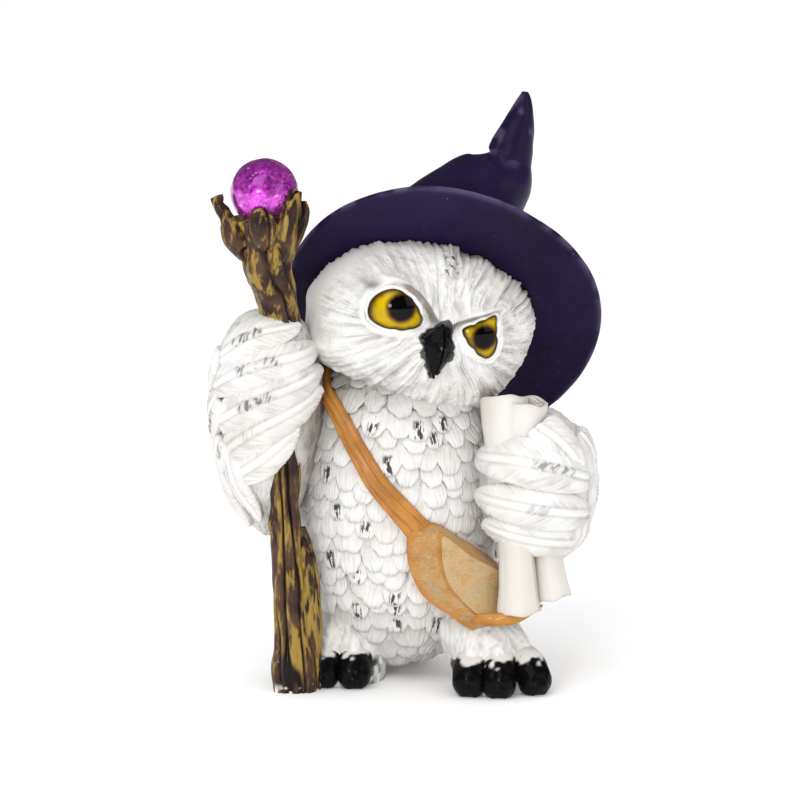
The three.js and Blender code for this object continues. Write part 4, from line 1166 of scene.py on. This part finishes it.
def tongueTree(material):
    tree = bpy.data.node_groups.new("bellyFeathers", "GeometryNodeTree")
    names = ("Length", "Width", "Thickness", "Rise", "Sink")
    tree.interface.new_socket(name="Geometry", in_out="INPUT", socket_type="NodeSocketGeometry")
    sockets = {name: tree.interface.new_socket(name=name, in_out="INPUT", socket_type="NodeSocketFloat")
               for name in names}
    tree.interface.new_socket(name="Geometry", in_out="OUTPUT", socket_type="NodeSocketGeometry")
    g = Graph(tree)
    given = g.node("NodeGroupInput")
    size = {name: Field(g, given.outputs[name]) for name in names}
    block = {"Size": (1, 1, 1), "Vertices X": 9, "Vertices Y": 8, "Vertices Z": 2}
    cube = g.get("GeometryNodeMeshCube", {}, block, "Mesh")
    part = g.node("ShaderNodeSeparateXYZ", {}, {0: g.get("GeometryNodeInputPosition")})
    x, y, z = (Field(g, part.outputs[k]) for k in range(3))
    along, across = y + 0.5, x * 2.0
    quill = g.get("ShaderNodeCombineXYZ", {}, {0: x + 0.5, 1: along, 2: 0.0})
    kept = g.get("GeometryNodeStoreNamedAttribute", {"data_type": "FLOAT_VECTOR", "domain": "POINT"},
                 {"Geometry": cube, "Name": "quill", "Value": quill})
    tip = g.math("MAXIMUM", along - 0.55, 0.0) / 0.45
    narrow = 1 - 0.2 * tip**2.0
    bow = across * across
    wide = size["Width"] * 0.5 * across * narrow * (0.72 + 0.28 * g.math("MINIMUM", along * 2.5, 1.0))
    reach = size["Length"] * (along - 0.30 * bow * bow * along * along)
    ribs = 0.16 * g.math("COSINE", across * 9.4) * along
    dome = size["Thickness"] * (1 - 0.85 * bow + ribs) * (1 - 0.55 * tip**3)
    floorHeight = size["Rise"] * along - size["Sink"] - 0.25 * bow * size["Rise"]
    height = floorHeight + dome * (z + 0.5)
    place = g.get("ShaderNodeCombineXYZ", {}, {0: wide, 1: reach, 2: height})
    moved = g.get("GeometryNodeSetPosition", {}, {"Geometry": kept, "Position": place})
    smooth = g.get("GeometryNodeSetShadeSmooth", {}, {"Geometry": moved})
    named = lambda name, kind: g.get("GeometryNodeInputNamedAttribute", {"data_type": kind}, {"Name": name})
    facing = g.get("FunctionNodeAlignRotationToVector", {"axis": "Z"},
                   {"Vector": named("outward", "FLOAT_VECTOR")})
    facing = g.get("FunctionNodeAlignRotationToVector", {"axis": "Y", "pivot_axis": "Z"},
                   {"Rotation": facing, "Vector": named("downward", "FLOAT_VECTOR")})
    inputs = {"Points": Field(g, given.outputs["Geometry"]), "Instance": smooth, "Rotation": facing,
              "Scale": named("size", "FLOAT")}
    spread = g.get("GeometryNodeInstanceOnPoints", {}, inputs)
    solid = g.get("GeometryNodeRealizeInstances", {}, {"Geometry": spread})
    painted = g.get("GeometryNodeSetMaterial", {}, {"Geometry": solid, "Material": material})
    g.node("NodeGroupOutput", {}, {"Geometry": painted})
    return tree, {name: sockets[name].identifier for name in names}


def makeBellyFeathers():
    rng = np.random.default_rng(17)
    places = []
    for k, z in enumerate(np.arange(belly["lowest"], belly["highest"], belly["row"])):
        girth = 2 * np.pi * 0.5 * (torso["rx"] + torso["ry"]) * float(waist(torso, z))
        count = max(6, round(girth / belly["pitch"]))
        for j in range(count):
            step = j + 0.5 * (k % 2) + rng.uniform(-belly["jitter"], belly["jitter"])
            height = z + rng.uniform(-belly["stray"], belly["stray"])
            places.append((step / count * 2 * np.pi - np.pi, height))
    turn, z = np.array(places).T
    at, out = eggPoint(torso, turn, z), eggNormal(torso, turn, z)
    down = unit(eggPoint(torso, turn, z - 0.5) - at)
    side = np.cross(out, down)
    down = unit(down + side * rng.normal(0, belly["turned"], len(at))[:, None])
    middle = at + down * 4
    mark = np.zeros(len(at))
    for x, height in belly["inkAt"]:
        near = np.hypot(middle[:, 0] - x, middle[:, 2] - height) + 50 * (middle[:, 1] > 0)
        mark[near.argmin()] = 1
    # a little random tone, with painted shade under the head, lower down the belly and beside the wings
    wash = 0.05 + 0.12 * rng.random(len(at))
    wash += 0.75 * bell(middle[:, 2] - 70, 4.5) + 0.25 * ease(22, 10, middle[:, 2])
    for egg in (rightGrip, leftGrip):
        gap = np.linalg.norm((middle - egg["centre"]) / (egg["rx"] + 3, egg["ry"] + 3, egg["up"] + 2),
                             axis=1)
        wash += 0.55 * ease(1.25, 0.95, gap)
    mesh = bpy.data.meshes.new("bellyFeathers")
    mesh.from_pydata(((at + toFrame) * mm).tolist(), [], [])
    size, shift = rng.uniform(0.88, 1.15, len(at)), rng.uniform(0, 40, len(at))
    layers = {"outward": out, "downward": down, "size": size, "ink": mark, "wash": wash, "shift": shift}
    for key, values in layers.items():
        kind, field = ("FLOAT_VECTOR", "vector") if values.ndim == 2 else ("FLOAT", "value")
        layer = mesh.attributes.new(key, kind, "POINT")
        layer.data.foreach_set(field, np.ascontiguousarray(values.reshape(-1), np.float32))
    maker = bpy.data.objects.new("bellyFeathers", mesh)
    bpy.context.scene.collection.objects.link(maker)
    tree, inputs = tongueTree(bellyWhite)
    modifier = maker.modifiers.new("feathers", "NODES")
    modifier.node_group = tree
    for key in ("length", "width", "thickness", "rise", "sink"):
        modifier[inputs[key.title()]] = belly[key] * mm
    bpy.context.view_layer.update()
    made = bpy.data.meshes.new_from_object(maker.evaluated_get(bpy.context.evaluated_depsgraph_get()))
    maker.modifiers.clear()
    maker.data = made
    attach(maker, "root")
    print("belly feathers:", len(at))


makeBody()
makeBellyFeathers()
print("body ready")

# legs, toes and tail
floorGap = 0.02  # the feet and the tail stop just above the floor
legs = {
    "right_leg": [((-8, -2.5, 19), 6.5), ((-11.4, -4.6, 13.6), 8.6), ((-13.6, -6.6, 7), 9.2),
                  ((-14, -7.4, 1.5), 9.2), ((-14, -7.6, -2), 9)],
    "left_leg": [((8, -4.5, 21), 6.5), ((13.6, -8.8, 15.6), 8.4), ((18.8, -12.8, 8.6), 9.2),
                 ((20.8, -14.6, 2), 9.6), ((21, -14.8, -2), 9.4)],
}
toe = {"length": 12.5, "width": 8.7, "height": 9.4,
       "stops": [(-0.3, 0.66, 0.36), (0.1, 0.64, 0.5), (0.42, 0.46, 0.48), (0.62, 0.24, 0.42),
                 (0.74, 0.12, 0.24)]}
toes = {
    "toe_right_outer": ((-20.4, -6.4), -70), "toe_right_middle": ((-17.4, -9.6), -12),
    "toe_right_inner": ((-12, -10.2), 2), "toe_left_inner": ((16.2, -17.4), -12),
    "toe_left_middle": ((21.4, -18.4), 0), "toe_left_outer": ((26.8, -16.4), 26),
}
tail = {"centre": (-1, 17.5, 0), "radii": (9.5, 11, 17), "root": (15.5, 21), "tip": (33, 1.3),
        "spread": 8.5, "half": 3.6, "thick": 2.0}


def fluff(points, out, seed):
    # hair and dents on a white swell, with a ridge above each toe
    for heel, turn in toes.values():
        ahead = np.array([np.sin(np.radians(turn)), -np.cos(np.radians(turn))])
        away = points[..., :2] - np.array(heel)
        reach, aside = away @ ahead, away @ np.array([-ahead[1], ahead[0]])
        ridge = bell(aside, 1.7) * ease(-3, 1, reach) * ease(16, 9, points[..., 2])
        points = points + out * (1.3 * ridge)[..., None]
    hair = noise(points * (1.4, 1.4, 0.4), 0.8, seed)
    rough = lumps(points, 3.4, seed + 1)
    points = points + out * (0.22 * hair + 0.45 * rough)[..., None]
    points[..., 2] = np.maximum(points[..., 2], floorGap)
    # painted shade: a grey base, deeper in dents and towards the top where the body overhangs
    wash = 0.12 + 0.4 * np.maximum(0, -rough) + 0.35 * ease(12, 17, points[..., 2])
    return points, {"groove": np.maximum(0, -hair) * 0.7, "wash": wash, "ink": 0.0}


def makeLegs():
    for k, (node, stops) in enumerate(legs.items()):
        points, out = sweep(stops, 200, 180)[:2]
        points, paint = fluff(points, out, 85 + k)
        x, y, z = np.moveaxis(points, -1, 0)
        near = np.min([np.hypot(x - heel[0], y - heel[1]) for heel, turn in toes.values()], axis=0)
        aside, above = 0.8 * noise(points, 1.2, 7), 0.8 * noise(points, 1.3, 9)
        paint["ink"] = ease(6.4, 5.4, near + aside) * ease(7.4, 6.4, z + above)
        handIn(ringMesh(node.replace("_l", "L"), points, featherWhite, paint), "feather_white", node)


def makeToes():
    for k, (node, (heel, turn)) in enumerate(toes.items()):
        ahead = np.array((np.sin(np.radians(turn)), -np.cos(np.radians(turn)), 0))
        stops = []
        for share, high, size in toe["stops"]:
            at = np.array((*heel, 0)) + ahead * share * toe["length"] + (0, 0, toe["height"] * high)
            stops.append((at, toe["width"] * size))
        points, out = sweep(stops, 60, 90)[:2]
        points = points + out * (0.35 * lumps(points, 3.2, 70 + k))[..., None]
        points[..., 2] = np.maximum(points[..., 2], floorGap)
        points, faces = capped(points)
        rag = noise(points, 1.3, 80 + k)
        chip = ease(toe["height"] * 0.80, toe["height"] * 0.88, points[:, 2] + 1.3 * rag)
        name = "".join(word.title() if i else word for i, word in enumerate(node.split("_")))
        handIn(finishMesh(name, points, faces, glossBlack, {"chip": chip}), "gloss_black", node)


def makeTail():
    x, y, z = ballParts(200, 160, 1)
    ball = np.stack([x, y, -z], -1)
    points, paint = fluff(np.array(tail["centre"]) + ball * np.array(tail["radii"]), ball, 90)
    handIn(ringMesh("tailBase", points, featherWhite, paint), "feather_white", "tail_base")
    for k in range(3):
        shift = (k - 1) * tail["spread"]
        rows, columns = 110, 33
        (rootY, rootZ), (tipY, tipZ) = tail["root"], tail["tip"]
        root, tip = (-1 + shift * 0.45, rootY, rootZ), (-1 + shift, tipY, tipZ)
        bend = (-1 + shift * 0.75, (rootY + tipY) / 2 + 1.5, (rootZ + tipZ) / 2 + 1.5)
        line = smoothLine([root, bend, tip], rows)
        along = unit(np.gradient(line, axis=0))
        side = np.array((1.0, 0, 0))
        up = unit(np.cross(side, along))
        up = up * np.sign(up[:, 2:3] + up[:, 1:2])
        u = np.linspace(0, 1, rows)[:, None] * np.ones(columns)
        v = np.ones((rows, 1)) * np.linspace(-1, 1, columns)
        across = v * tail["half"] * featherShape(u)
        run = u * np.linalg.norm(line[-1] - line[0])
        carved, paint = featherRelief(95 + k, 0.0)({"run": run, "across": across, "u": u, "v": v})
        middle = line[:, None] + across[..., None] * side
        crown = tail["thick"] / 2 * (1 - 0.85 * np.abs(v) ** 3)
        top = middle + (crown + carved)[..., None] * up[:, None]
        bottom = middle - crown[..., None] * up[:, None]
        for grid in (top, bottom):
            grid[..., 2] = np.maximum(grid[..., 2], floorGap)
        piece = shellMesh(f"tailFeather{k + 1}", top, bottom, featherWhite, paint)
        handIn(piece, "feather_white", f"tail_feather_{k + 1}")


makeLegs()
makeToes()
makeTail()
print("legs and tail ready")

# floor, light and camera
studio = {"floor": 30, "world": 1.03, "mirror": 0.10, "key": 5.6, "fill": 1.2, "spark": 2.6,
          "cameraAt": (-1.157, -883.46, 235.87), "down": 11, "lens": 174.96}


def makeStudio():
    bpy.ops.mesh.primitive_plane_add(size=studio["floor"], location=(0, 0, 0))
    ground = bpy.context.object
    ground.name = "floor"
    floorWhite = newPaint("floorWhite", (0.97, 0.97, 0.97), Roughness=0.9, Specular_IOR_Level=0.05)[0]
    ground.data.materials.append(floorWhite)
    world = bpy.data.worlds.new("studio")
    bpy.context.scene.world = world
    world.use_nodes = True
    backdrop = world.node_tree.nodes["Background"].inputs
    backdrop["Color"].default_value = (1, 1, 1, 1)
    sky = Graph(world.node_tree)
    glossy = sky.get("ShaderNodeLightPath", output="Is Glossy Ray")
    strength = studio["world"] + glossy * (studio["mirror"] - studio["world"])
    world.node_tree.links.new(strength.socket, backdrop["Strength"])
    lamps = (("key", (-0.45, -0.8, 1.3), 1.0, studio["key"]),
             ("fill", (0.9, -0.6, 0.5), 0.6, studio["fill"]),
             ("spark", (-0.32, -0.95, 0.28), 0.2, studio["spark"]))
    for name, at, size, power in lamps:
        light = bpy.data.lights.new(name, "AREA")
        light.energy, light.size = power, size
        lamp = bpy.data.objects.new(name, light)
        lamp.location = at
        lamp.rotation_euler = (Vector((0, 0, 0.06)) - Vector(at)).to_track_quat("-Z", "Y").to_euler()
        bpy.context.scene.collection.objects.link(lamp)
    camera = bpy.data.objects.new("camera", bpy.data.cameras.new("camera"))
    camera.data.lens, camera.data.sensor_width = studio["lens"], 36
    camera.location = (np.array(studio["cameraAt"]) + toFrame) * mm
    camera.rotation_euler = (np.radians(90 - studio["down"]), 0, 0)
    camera.data.clip_end = 50
    bpy.context.scene.collection.objects.link(camera)
    bpy.context.scene.camera = camera
    bpy.context.scene.view_settings.view_transform = "Standard"


makeStudio()
